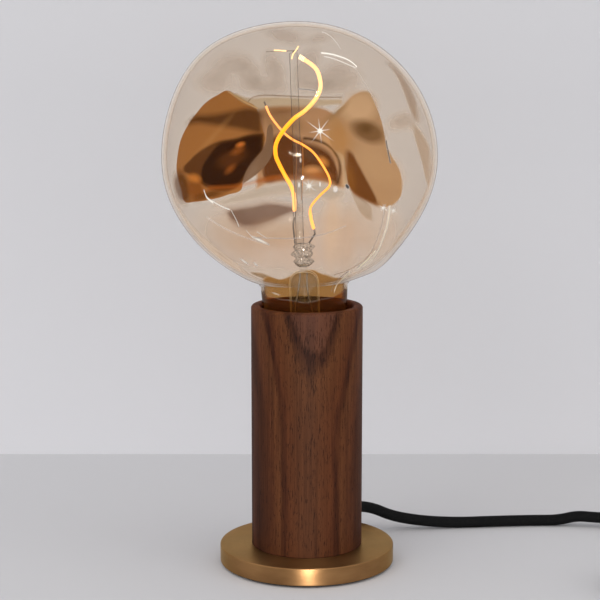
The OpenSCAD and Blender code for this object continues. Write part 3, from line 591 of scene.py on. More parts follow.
@dataclass(frozen=True)
class Walnut:
    """Oiled walnut with a tongue of growth rings at its top and dark streaks that run down its sides. Its
    sizes are the tongue's middle, its flatness and the height where it starts, the wood's radius, and the
    change of level that all the colour bands take."""

    middle: float = 2.9
    flat: float = 23.0
    start: float = 100.0
    radius: float = 38.0
    width: float = 44.0

    def _level(self, s: Shader, across: Value) -> Value:
        """The grain's level: the root of (across squared + a little of the depth squared + flat squared),
        less a rise that grows with the height above a start to the power 1.5, so that the lines of equal
        level turn into a tongue at the top."""
        _, y, z = s.axes
        drift = (s.grain(0.03, 0.011) - 0.5) * 7.0
        ragged = (s.grain(0.9, 0.12, 4.0, 0.6) - 0.5) * 2.0
        behind = y + self.radius
        away = (across * across + behind * behind * 0.03 + self.flat**2) ** 0.5
        rise = ((z - self.start) / 80).math("MAXIMUM", 0.0) ** 1.5 * 11
        return away - rise + drift + ragged - 10.9

    def material(self) -> bpy.types.Material:
        """Colour bands follow the grain's level over its width, fibres shade them, and pores cut them; a
        painted sheen pales the right edge, and painted shade darkens the left half a little.
        """
        s = Shader("walnut")
        across = s.axes[0] - self.middle
        level = self._level(s, across)
        # Painted shade: 1 on the left half, which it darkens a little below.
        side = 1 - across.step(0.0, 1.0)
        warm, plain = rgb(100, 61, 36), rgb(92, 51, 30)
        grain = s.ramp(
            level / self.width,
            (0.0, rgb(100, 65, 52)), (0.13, rgb(96, 60, 45)), (0.15, rgb(50, 27, 19)),
            (0.18, rgb(66, 39, 26)), (0.22, warm), (0.30, rgb(94, 55, 32)), (0.37, plain),
            (0.395, rgb(56, 27, 20)), (0.425, rgb(48, 23, 17)), (0.455, rgb(98, 60, 37)),
            (0.56, rgb(94, 54, 34)), (0.62, rgb(50, 28, 21)), (0.70, rgb(36, 20, 16)),
            (0.76, rgb(76, 45, 35)), (0.84, rgb(48, 28, 23)), (1.0, rgb(62, 37, 32)),
        )  # fmt: skip
        calm = s.ramp(
            level / self.width,
            (0.0, rgb(92, 60, 46)), (0.19, warm), (0.36, plain), (0.5, warm), (0.62, rgb(66, 38, 27)),
            (1.0, rgb(60, 36, 29)),
        )  # fmt: skip
        fibre = s.grain(0.9, 0.014, 5.0, 0.7)
        broad = s.grain(0.12, 0.007)
        broken = s.grain(0.25, 0.03).step(0.5, 0.2)
        grain = s.blend(broken * 0.4 * level.step(13.0, 2.0), grain, calm)
        # Painted sheen: a paler, greyer brown along the right edge.
        grain = s.blend(across.step(34.0, 8.0) * 0.6, grain, rgb(96, 60, 48))
        # The side term adds painted shade on the left half; the fibres and the broad noise are the wood's own
        # tone.
        shade = ((fibre - 0.5) * 1.9 + (broad - 0.5) * 1.8 + 0.30 + side * 0.08).held()
        colour = s.blend(shade * 0.6, grain, rgb(38, 15, 8))
        pale = (0.5 - (fibre - 0.5) * 2.0 - (broad - 0.5) * 1.6).held()
        colour = s.blend(pale * 0.3, colour, rgb(122, 70, 38))
        near_lines = 1 - (level - 7.6).size().step(3.0, 4.0)
        pores = s.grain(1.6, 0.15, 3.0, 0.7).step(0.60 - 0.05 * near_lines, 0.04)
        colour = s.blend(pores * 0.75, colour, rgb(26, 12, 8))
        rough = 0.52 + fibre * 0.14
        normal = s.bump((fibre * 0.5 - pores * 0.7).held(), 0.12, 0.5)
        return s.done(s.solid(Base_Color=colour, Roughness=rough, Normal=normal, Specular_IOR_Level=0.06))


@dataclass(frozen=True)
class AgedBrass:
    """Brown aged brass, clouded and brushed round its axis."""

    colour: Colour = rgb(162, 122, 80)
    clouded: Colour = rgb(136, 100, 64)
    spun: Colour = rgb(112, 80, 50)
    gleam: Colour = (1.0, 0.88, 0.62)
    roughness: float = 0.28

    def material(self) -> bpy.types.Material:
        """Soft clouds mix the two colours, rings of noise darken them, and fine noise along z roughens
        the metal, whose gloss is drawn out round the axis."""
        s = Shader("aged_brass")
        x, y, z = s.axes
        cloud = s.grain(0.035, 0.1, 4.0)
        fine = s.grain(0.3, 9.0, 2.0)
        rings = s.noise(s.place((x * x + y * y) ** 0.5 * 1.4, cloud * 3, z * 2), 1.0, 3.0)
        colour = s.blend(cloud.step(0.5, 0.4), self.clouded, self.colour)
        colour = s.blend((rings - 0.35).held() * 0.35, colour, self.spun)
        surface = s.solid(
            Base_Color=colour, Metallic=1.0, Roughness=cloud * 0.12 + fine * 0.06 + self.roughness,
            Normal=s.bump(fine, 0.03, 0.5), Specular_Tint=self.gleam, Anisotropic=0.7,
            Anisotropic_Rotation=0.25,
        )  # fmt: skip
        return s.done(surface)


@dataclass(frozen=True)
class Braid:
    """Black braid over a round flex: two sets of strands that cross in diamonds, and whose lay is the
    length of one turn in diameters."""

    carriers: int = 16
    diameter: float = 8.0
    lay: float = 1.6

    def material(self) -> bpy.types.Material:
        """Strand waves run at n times (u + t / 2) and n times (u - t / 2), with u round the flex and t the
        distance along it in turns of the braid; whichever crosses above shows. Pale flecks on the raised
        crossings are painted glints."""
        s = Shader("cord_braid")
        u, v = s.surface_map()
        turns = v / (self.diameter * self.lay)
        across, along = u * self.carriers, turns * self.carriers * 0.5
        first, other = ((w.math("FRACT") - 0.5).size() * 2 for w in (across + along, across - along))
        weave = first.math("MAXIMUM", other)
        colour = s.blend(weave, rgb(9, 9, 11), rgb(2, 2, 3))
        # Painted glints: sparse pale flecks on the raised crossings stand in for highlights.
        painted_glint_scatter = s.noise(s.place(u * 90, turns * 6, 0), 1.0, 2.0).step(0.57, 0.08)
        glint = (1 - weave.step(0.30, 0.12)) * painted_glint_scatter
        colour = s.blend(glint, colour, rgb(72, 72, 68))
        normal = s.bump(1 - weave, 0.25, 0.8)
        return s.done(s.solid(Base_Color=colour, Roughness=0.75, Normal=normal, Specular_IOR_Level=0.12))


@dataclass(frozen=True)
class Plain:
    """A plain moulded, drawn or cast finish with faint clouds, and a grain of a depth in millimetres and of
    so many swells a millimetre."""

    name: str
    colour: Colour
    roughness: float = 0.5
    metallic: float = 0.0
    grain: float = 0.05
    scale: float = 2.0

    def material(self) -> bpy.types.Material:
        """Noise darkens the colour by up to a quarter, and varies the roughness by a tenth and the height."""
        s = Shader(self.name)
        where = s.place(*s.axes)
        cloud = s.noise(where, 0.08, 3.0)
        fine = s.noise(where, self.scale, 2.0)
        shade = tuple(c * 0.72 for c in self.colour)
        colour = s.blend(cloud.step(0.5, 0.7), shade, self.colour)
        rough = cloud * 0.12 + (self.roughness - 0.06)
        normal = s.bump(fine, self.grain, 0.5)
        surface = s.solid(Base_Color=colour, Metallic=self.metallic, Roughness=rough, Normal=normal)
        return s.done(surface)


class Finish(Enum):
    """The plain finishes, each with its own noise."""

    FELT = Plain("pad_felt", rgb(24, 23, 23), 0.95, 0.0, 0.3, 3.0)
    STEEL = Plain("steel", rgb(190, 190, 192), 0.32, 1.0, 0.02, 3.0)
    PLATED = Plain("plated", rgb(196, 192, 178), 0.34, 1.0, 0.02, 3.0)
    TINNED = Plain("tinned_brass", rgb(200, 194, 172), 0.35, 1.0, 0.02, 3.0)
    SHEET_BRASS = Plain("sheet_brass", rgb(205, 172, 110), 0.28, 1.0, 0.02, 3.0)
    RUBBER = Plain("black_rubber", rgb(20, 20, 21), 0.7, 0.0, 0.06, 2.5)
    HOLDER = Plain("holder_black", rgb(26, 25, 25), 0.42, 0.0, 0.05, 1.5)
    SHELL = Plain("moulded_black", rgb(22, 22, 23), 0.38, 0.0, 0.06, 2.0)
    ROCKER = Plain("rocker_black", rgb(34, 34, 35), 0.32, 0.0, 0.04, 2.0)
    CLAMP = Plain("clamp_plastic", rgb(206, 202, 190), 0.55, 0.0, 0.06, 1.5)
    CERAMIC = Plain("block_ceramic", rgb(226, 222, 212), 0.6, 0.0, 0.05, 1.0)
    BROWN = Plain("wire_brown", rgb(112, 62, 34), 0.5, 0.0, 0.03, 2.0)
    BLUE = Plain("wire_blue", rgb(52, 92, 168), 0.5, 0.0, 0.03, 2.0)
    GREEN = Plain("wire_green", rgb(110, 160, 58), 0.5, 0.0, 0.03, 2.0)
    VITRITE = Plain("black_vitrite", rgb(30, 26, 30), 0.2, 0.0, 0.03, 1.0)
    BOARD = Plain("driver_board", rgb(42, 92, 56), 0.5, 0.0, 0.05, 1.5)
    DARK_WIRE = Plain("dark_wire", rgb(84, 78, 76), 0.4, 0.9, 0.03, 3.0)
    CLIP = Plain("clip_metal", rgb(110, 108, 106), 0.42, 0.9, 0.05, 3.0)

    def made(self) -> bpy.types.Material:
        """This finish's material, made once."""
        return bpy.data.materials.get(self.value.name) or self.value.material()


# ---------- the lamp's parts ----------


@dataclass
class Dressing:
    """Places new pieces on their bodies, and gives CAD nodes their finishes."""

    nodes: dict[str, bpy.types.Object]

    def stand_in(self, piece: bpy.types.Object, body: str, slot: str, *nodes: str) -> None:
        """Lets a piece ride on a body and stand for CAD nodes.

        Args:
            piece: The new piece.
            body: The body that it moves with.
            slot: The record's material slot for its finish; not used.
            nodes: The CAD nodes that it stands for.
        """
        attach(piece, body)
        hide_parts(*nodes)

    def dress(self, material: bpy.types.Material, *names: str) -> None:
        """Gives CAD nodes a material on their objects' own slots."""
        for name in names:
            part = self.nodes[name]
            if not part.material_slots:
                part.data.materials.append(material)
            for slot in part.material_slots:
                slot.link = "OBJECT"
                slot.material = material


@dataclass
class Foot:
    """The brass disc and the pad under it. The rows lie on the disc's flat sides, and the core is the
    radius where the fans at its middle begin."""

    radius: float = 60.0
    thickness: float = 12.0
    bevel: float = 0.8
    top_rows: tuple[float, ...] = (54.0, 38.4, 12.0)
    under_row: float = 52.0
    core: float = 0.5
    pad: float = 1.5
    pad_inset: float = 3.0
    pad_bevel: float = 0.4
    sides: int = 256

    def build(self, kit: Dressing) -> None:
        """Makes the disc and the pad."""
        low, high, r, b = self.pad, self.pad + self.thickness, self.radius, self.bevel
        edge = [(self.core, low), (self.under_row, low)]
        edge += arc((r - b, low + b), b, -90, 0) + arc((r - b, high - b), b, 0, 90)
        edge += [(row, high) for row in (*self.top_rows, self.core)]
        disc = Skin().add(turned(edge, self.sides)).piece("brass_disc", AgedBrass().material(), sharp=60)
        kit.stand_in(disc, "lamp", "brass_disc", "base_plate")
        r, b = self.radius - self.pad_inset, self.pad_bevel
        felt = [(self.core, 0), (r - 0.6, 0)] + arc((r - b, b), b, -90, 0, 4)
        felt += arc((r - b, low - b), b, 0, 90, 4) + [(self.core, low)]
        pad = Skin().add(turned(felt, self.sides // 2)).piece("felt_pad", Finish.FELT.made())
        kit.stand_in(pad, "lamp", "pad_felt", "base_pad")
        kit.dress(Finish.STEEL.made(), "base_screws")


@dataclass
class Body:
    """The turned walnut cylinder with its deep bore, its lip and its wiring space, whose two sizes are its
    radius and its height. The bore's floor and the space's roof are measured from the cylinder's foot."""

    radius: float = 38.0
    foot: float = 13.5
    height: float = 167.0
    lip: float = 2.0
    chamfer: float = 0.4
    bore: float = 31.5
    bore_from: float = 8.0
    floor: float = 70.5
    cavity: Pair = (25.0, 30.0)
    tube: float = 5.25
    side_rows: int = 12
    sides: int = 256

    def build(self, kit: Dressing) -> None:
        """Turns the body from one closed profile that goes up outside and down the bore."""
        z, top = self.foot, self.foot + self.height
        rim, floor, roof = top - self.lip, self.foot + self.floor, self.foot + self.cavity[1]
        outside = [(self.cavity[0], z), (self.radius - self.chamfer, z), (self.radius, z + self.chamfer)]
        outside += [(self.radius, z + step) for step in np.linspace(4, self.height - 6, self.side_rows)]
        lip = arc((self.radius - self.lip, rim), self.lip, 0, 90, 9)
        lip += arc((self.bore + self.lip, rim), self.lip, 90, 180, 9)
        inside = [(self.bore, top - self.bore_from), (self.bore, floor), (self.tube, floor)]
        inside += [(self.tube, roof), (self.cavity[0], roof)]
        rings = turned(outside + lip + inside + outside[:1], self.sides)
        made = Skin().add(rings, ends=False).piece("walnut_body", Walnut(radius=self.radius).material())
        kit.stand_in(made, "lamp", "walnut", "wood_body")


@dataclass
class Flex:
    """The braided cord: from the boot to the switch, and from there through its coil to the plug. The lead
    has its heading and its slope in degrees at distances along it. The coil has its middle, its outer
    radius, the pitch of its turns, the height of a layer, and the degrees of its whole turn, of its climb
    from layer to layer and of one step."""

    radius: float = 4.0
    exit_turn: float = 60.0
    exit_z: float = 21.5
    lead_at: tuple[float, ...] = (0, 34, 50, 75, 105, 135, 160, 176, 188, 200, 211, 217)
    lead_heading: tuple[float, ...] = (60, 12.3, 3.2, 5.7, 5.0, 6.1, -0.7, -7.1, -10.2, -9.8, -6.0, 0)
    lead_slope: tuple[float, ...] = (0, -26.1, -11.7, -5.0, 0.7, -0.5, 0.5, 15.7, -2.5, 0.1, 7.4, 0)
    lead_points: int = 160
    boot_tip: float = 60.0
    switch_at: Point = (236.0, 75.0, 8.5)
    in_switch: tuple[float, ...] = (0, 2, 8, 16, 24)
    coil_at: Pair = (324.0, -10.0)
    coil_r: float = 56.0
    pitch: float = 8.6
    layer: float = 8.6
    turn: float = 1530.0
    climb: float = 180.0
    coil_z: float = 4.0
    coil_step: float = 15.0

    def _lead(self) -> np.ndarray:
        """The route from the boot's tip to the table and on into the switch: its heading and its slope
        change evenly between the distances given, so it never bends sharply."""
        s = np.linspace(0, self.lead_at[-1], self.lead_points)
        heading = np.radians(np.interp(s, self.lead_at, self.lead_heading))
        slope = np.radians(np.interp(s, self.lead_at, self.lead_slope))
        way = toward(heading, slope)
        first = np.radians(self.exit_turn)
        start = np.array([self.boot_tip * np.cos(first), self.boot_tip * np.sin(first), self.exit_z])
        steps = np.cumsum((way[:-1] + way[1:]) / 2 * s[1], axis=0)
        inside = [np.add(self.switch_at, (x, 0.0, 0.0)) for x in self.in_switch]
        return np.vstack([start, start + steps[:-1], inside])

    def _coiled(self) -> np.ndarray:
        """The route from the switch through the coil to the plug. At angle a the coil's radius is the
        outer one less a pitch for each turn to the nearer end, and it climbs one layer half way."""
        _, y, z = self.switch_at
        link = [
            (320, y, z), (332, y, z), (344, y, z), (353.3, 73.8, 8.2), (362, 70.2, 7.3), (369.5, 64.5, 6.3),
            (375.2, 57, 5.2), (378.8, 48.3, 4.3), (380, 39, 4), (380, 28, 4), (380, 12, 4), (380, -2, 4),
        ]  # fmt: skip
        a = np.arange(0, self.turn + 1, self.coil_step)
        r = self.coil_r - self.pitch * np.minimum(a, self.turn - a) / 360
        rise = self.layer * smooth01((a - (self.turn - self.climb) / 2) / self.climb)
        turn = np.radians(-a)
        x, y = self.coil_at[0] + r * np.cos(turn), self.coil_at[1] + r * np.sin(turn)
        coil = np.stack([x, y, self.coil_z + rise], -1)
        tail = [
            (316, -66, 12.6), (308, -66, 12.4), (298, -66, 10.8), (288, -66, 9.5), (280, -66, 9.5),
            (250, -66, 9.5),
        ]  # fmt: skip
        return through(np.vstack([link, coil, tail]), 3)

    def build(self, kit: Dressing) -> None:
        braid = Braid(diameter=2 * self.radius).material()
        switch = [kit.nodes[n] for n in SWITCH_NODES]
        plug = [kit.nodes[n] for n in PLUG_NODES]
        for name, route, far, lay, carried, stood_for in (
            ("flex_lead", self._lead(), "fitting", "loose", switch, ("cord_lead",)),
            ("flex_coiled", self._coiled(), "plug", "coiled", plug, ("cord_link", "cord_coil", "cord_tail")),
        ):
            length = measured(route)
            piece = Skin().add(swept(route, self.radius, 20), length=length).piece(name, braid)
            kit.stand_in(piece, "lamp", "cord_braid", *stood_for)
            2 * self.radius * MM  # fmt: skip
            LOG.info("%s: %.0f mm long", name, length)


SWITCH_NODES = (
    "switch_base", "switch_cover", "switch_boots", "switch_pivot", "switch_contacts", "switch_screws",
    "switch_rocker",
)  # fmt: skip
PLUG_NODES = ("plug_boot", "plug_base", "plug_cover", "plug_pins", "plug_fuse", "plug_screw")


@dataclass
class Fittings:
    """The pieces whose CAD shape is kept: what is inside the lamp, the switch and the plug."""

    finishes: dict[Finish, tuple[str, ...]] = field(
        default_factory=lambda: {
            Finish.STEEL: ("clamp_screws", "terminal_screws", "bulb_tip_contact", "switch_pivot",
                           "switch_screws", "plug_screw"),
            Finish.PLATED: ("nipple", "nipple_washers", "nipple_nut", "bulb_cap"),
            Finish.TINNED: ("earth_tag", "earth_screw"),
            Finish.SHEET_BRASS: ("holder_liner", "tip_spring", "side_spring", "switch_contacts", "plug_pins"),
            Finish.RUBBER: ("cord_boot", "cord_entry", "switch_boots", "plug_boot"),
            Finish.HOLDER: ("holder_cup", "holder_shell"),
            Finish.SHELL: ("switch_base", "switch_cover", "plug_base", "plug_cover"),
            Finish.ROCKER: ("switch_rocker",),
            Finish.CLAMP: ("clamp_saddle", "clamp_bridge"),
            Finish.CERAMIC: ("holder_block", "plug_fuse"),
            Finish.BROWN: ("wire_live",),
            Finish.BLUE: ("wire_neutral",),
            Finish.GREEN: ("wire_earth",),
            Finish.VITRITE: ("bulb_insulator",),
            Finish.BOARD: ("bulb_driver",),
            Finish.DARK_WIRE: ("hook_wire", "lead_wires"),
            Finish.CLIP: ("filament_clips",),
        }
    )  # fmt: skip

    def build(self, kit: Dressing) -> None:
        """Dresses each CAD node that stays."""
        for finish, names in self.finishes.items():
            kit.dress(finish.made(), *names)


# ---------- the glass's lustre, and the reflections, glints and shade painted on it ---


@dataclass
class Chart:
    """The front view of one wall of the globe, on which the painted reflections and glints are placed by the
    photograph's pixels. It keeps the surface's x and z as shares of a span from a corner: across and up."""

    shader: Shader
    x: Value
    z: Value
    far: bool
    centre: Point = (-4.9, 0.0, 279.6)
    radii: Point = (94.0, 92.4, 90.0)
    corner: Pair = (-110.0, 180.0)
    span: float = 220.0

    def __post_init__(self) -> None:
        """Works out the two shares."""
        self.across = (self.x - self.corner[0]) / self.span
        self.up = (self.z - self.corner[1]) / self.span

    def at(self, pixel: Pixel) -> Pair:
        """The place of a pixel on this wall, in the same shares."""
        x, z = SIGHT.on_globe(pixel, self.centre, self.radii, self.far)
        return (x - self.corner[0]) / self.span, (z - self.corner[1]) / self.span


@dataclass(frozen=True)
class PaintedLight:
    """One patch of painted light or shade on the glass, such as a reflection or a glint: its colour, how much
    it covers, and how soft its edge is in millimetres.
    """

    colour: Colour
    cover: float
    soft: float

    def mask(self, chart: Chart) -> Value:
        """1 inside the patch and 0 outside it."""
        raise NotImplementedError

    @property
    def sways(self) -> bool:
        """Whether a slow noise moves the patch's edge about."""
        return False

    def within(self, chart: Chart, value: Value, low: float, high: float) -> Value:
        """1 where a share of the span lies between two limits, with this patch's soft edge."""
        soft = self.soft / chart.span
        return value.step(low, soft) * (1 - value.step(high, soft))


@dataclass(frozen=True)
class Leaf(PaintedLight):
    """A patch between an upper and a lower edge."""

    top: tuple[Pixel, ...]
    bottom: tuple[Pixel, ...]

    def mask(self, chart: Chart) -> Value:
        """Below the top edge's curve and above the bottom edge's, between their ends."""
        soft = self.soft / chart.span
        top, bottom = [chart.at(p) for p in self.top], [chart.at(p) for p in self.bottom]
        under = (chart.shader.curve(chart.across, top) - chart.up).step(0, soft)
        over = (chart.up - chart.shader.curve(chart.across, bottom)).step(0, soft)
        low, high = max(min(top)[0], min(bottom)[0]), min(max(top)[0], max(bottom)[0])
        return under * over * self.within(chart, chart.across, low, high)


@dataclass(frozen=True)
class Spot(PaintedLight):
    """A round or long patch of two half widths in pixels, turned in degrees from across towards up."""

    centre: Pixel
    size: Pixel
    turn: float = 0.0

    @property
    def sways(self) -> bool:
        """A soft spot sways, and a firm one stays."""
        return self.soft > 3

    def mask(self, chart: Chart) -> Value:
        """1 less the distance from the centre, measured along the patch's two half widths."""
        u0, v0 = chart.at(self.centre)
        pixel = 1 / SIGHT.scale / chart.span
        c, s = math.cos(math.radians(self.turn)), math.sin(math.radians(self.turn))
        u, v = chart.across - u0, chart.up - v0
        a = (u * c + v * s) / (self.size[0] * pixel)
        b = (v * c - u * s) / (self.size[1] * pixel)
        away = (a * a + b * b) ** 0.5
        return 1 - away.step(1.0, max(self.soft / min(self.size), 0.05))


@dataclass(frozen=True)
class Streak(PaintedLight):
    """A thin line along a route, as wide in millimetres as given; a steep one is a function of height."""

    route: tuple[Pixel, ...]
    width: float
    steep: bool = False

    def mask(self, chart: Chart) -> Value:
        """1 where the distance to the route's curve is under half the width."""
        points = [chart.at(p) for p in self.route]
        along, other = chart.across, chart.up
        if self.steep:
            points = [(v, u) for u, v in points]
            along, other = other, along
        away = (other - chart.shader.curve(along, points)).size()
        line = 1 - away.step(self.width / 2 / chart.span, self.soft / chart.span)
        return line * self.within(chart, along, min(points)[0], max(points)[0])


def star(centre: Pixel, reach: float, core: float, fine: float = 0.42) -> tuple[PaintedLight, ...]:
    """A painted glint: a bright core and four fine rays across it, each at an angle and with its share of the
    reach.

    Args:
        centre: Its pixel.
        reach: The half length of a ray, in pixels.
        core: The core's radius, in pixels.
        fine: The half width of a ray, in pixels.

    Returns:
        The glint's painted patches.
    """
    turns = ((8, 0.8), (52, 1), (97, 0.9), (-36, 1.2))
    rays = [Spot(WHITE, 0.75, 0.5, centre, (reach * share, fine), turn) for turn, share in turns]
    return (*rays, Spot(WHITE, 1.0, core * 0.8, centre, (core, core)))


UMBER, OCHRE, PEACH = rgb(48, 23, 8), rgb(166, 115, 70), rgb(212, 172, 140)
MAUVE, SMOKE, DUSK = rgb(146, 140, 150), rgb(140, 134, 142), rgb(140, 132, 138)
WHITE, CREAM, SEPIA = rgb(255, 249, 236), rgb(255, 240, 206), rgb(84, 56, 38)

LEAF_TOP = (
    (177, 167), (178, 155), (181, 140), (187.5, 126), (196, 113.8), (206, 102.5), (217.5, 95), (228, 90.6),
    (235, 95), (245, 100.6), (255, 106), (259, 116), (262, 126), (265.5, 138),
)  # fmt: skip
LEAF_FOOT = (
    (177, 167), (178.8, 179), (182, 190), (185.6, 201), (195, 201), (215, 198), (227.5, 194.4), (242.5, 188),
    (243, 180), (247, 168), (255, 157), (262, 148), (265.5, 139),
)  # fmt: skip
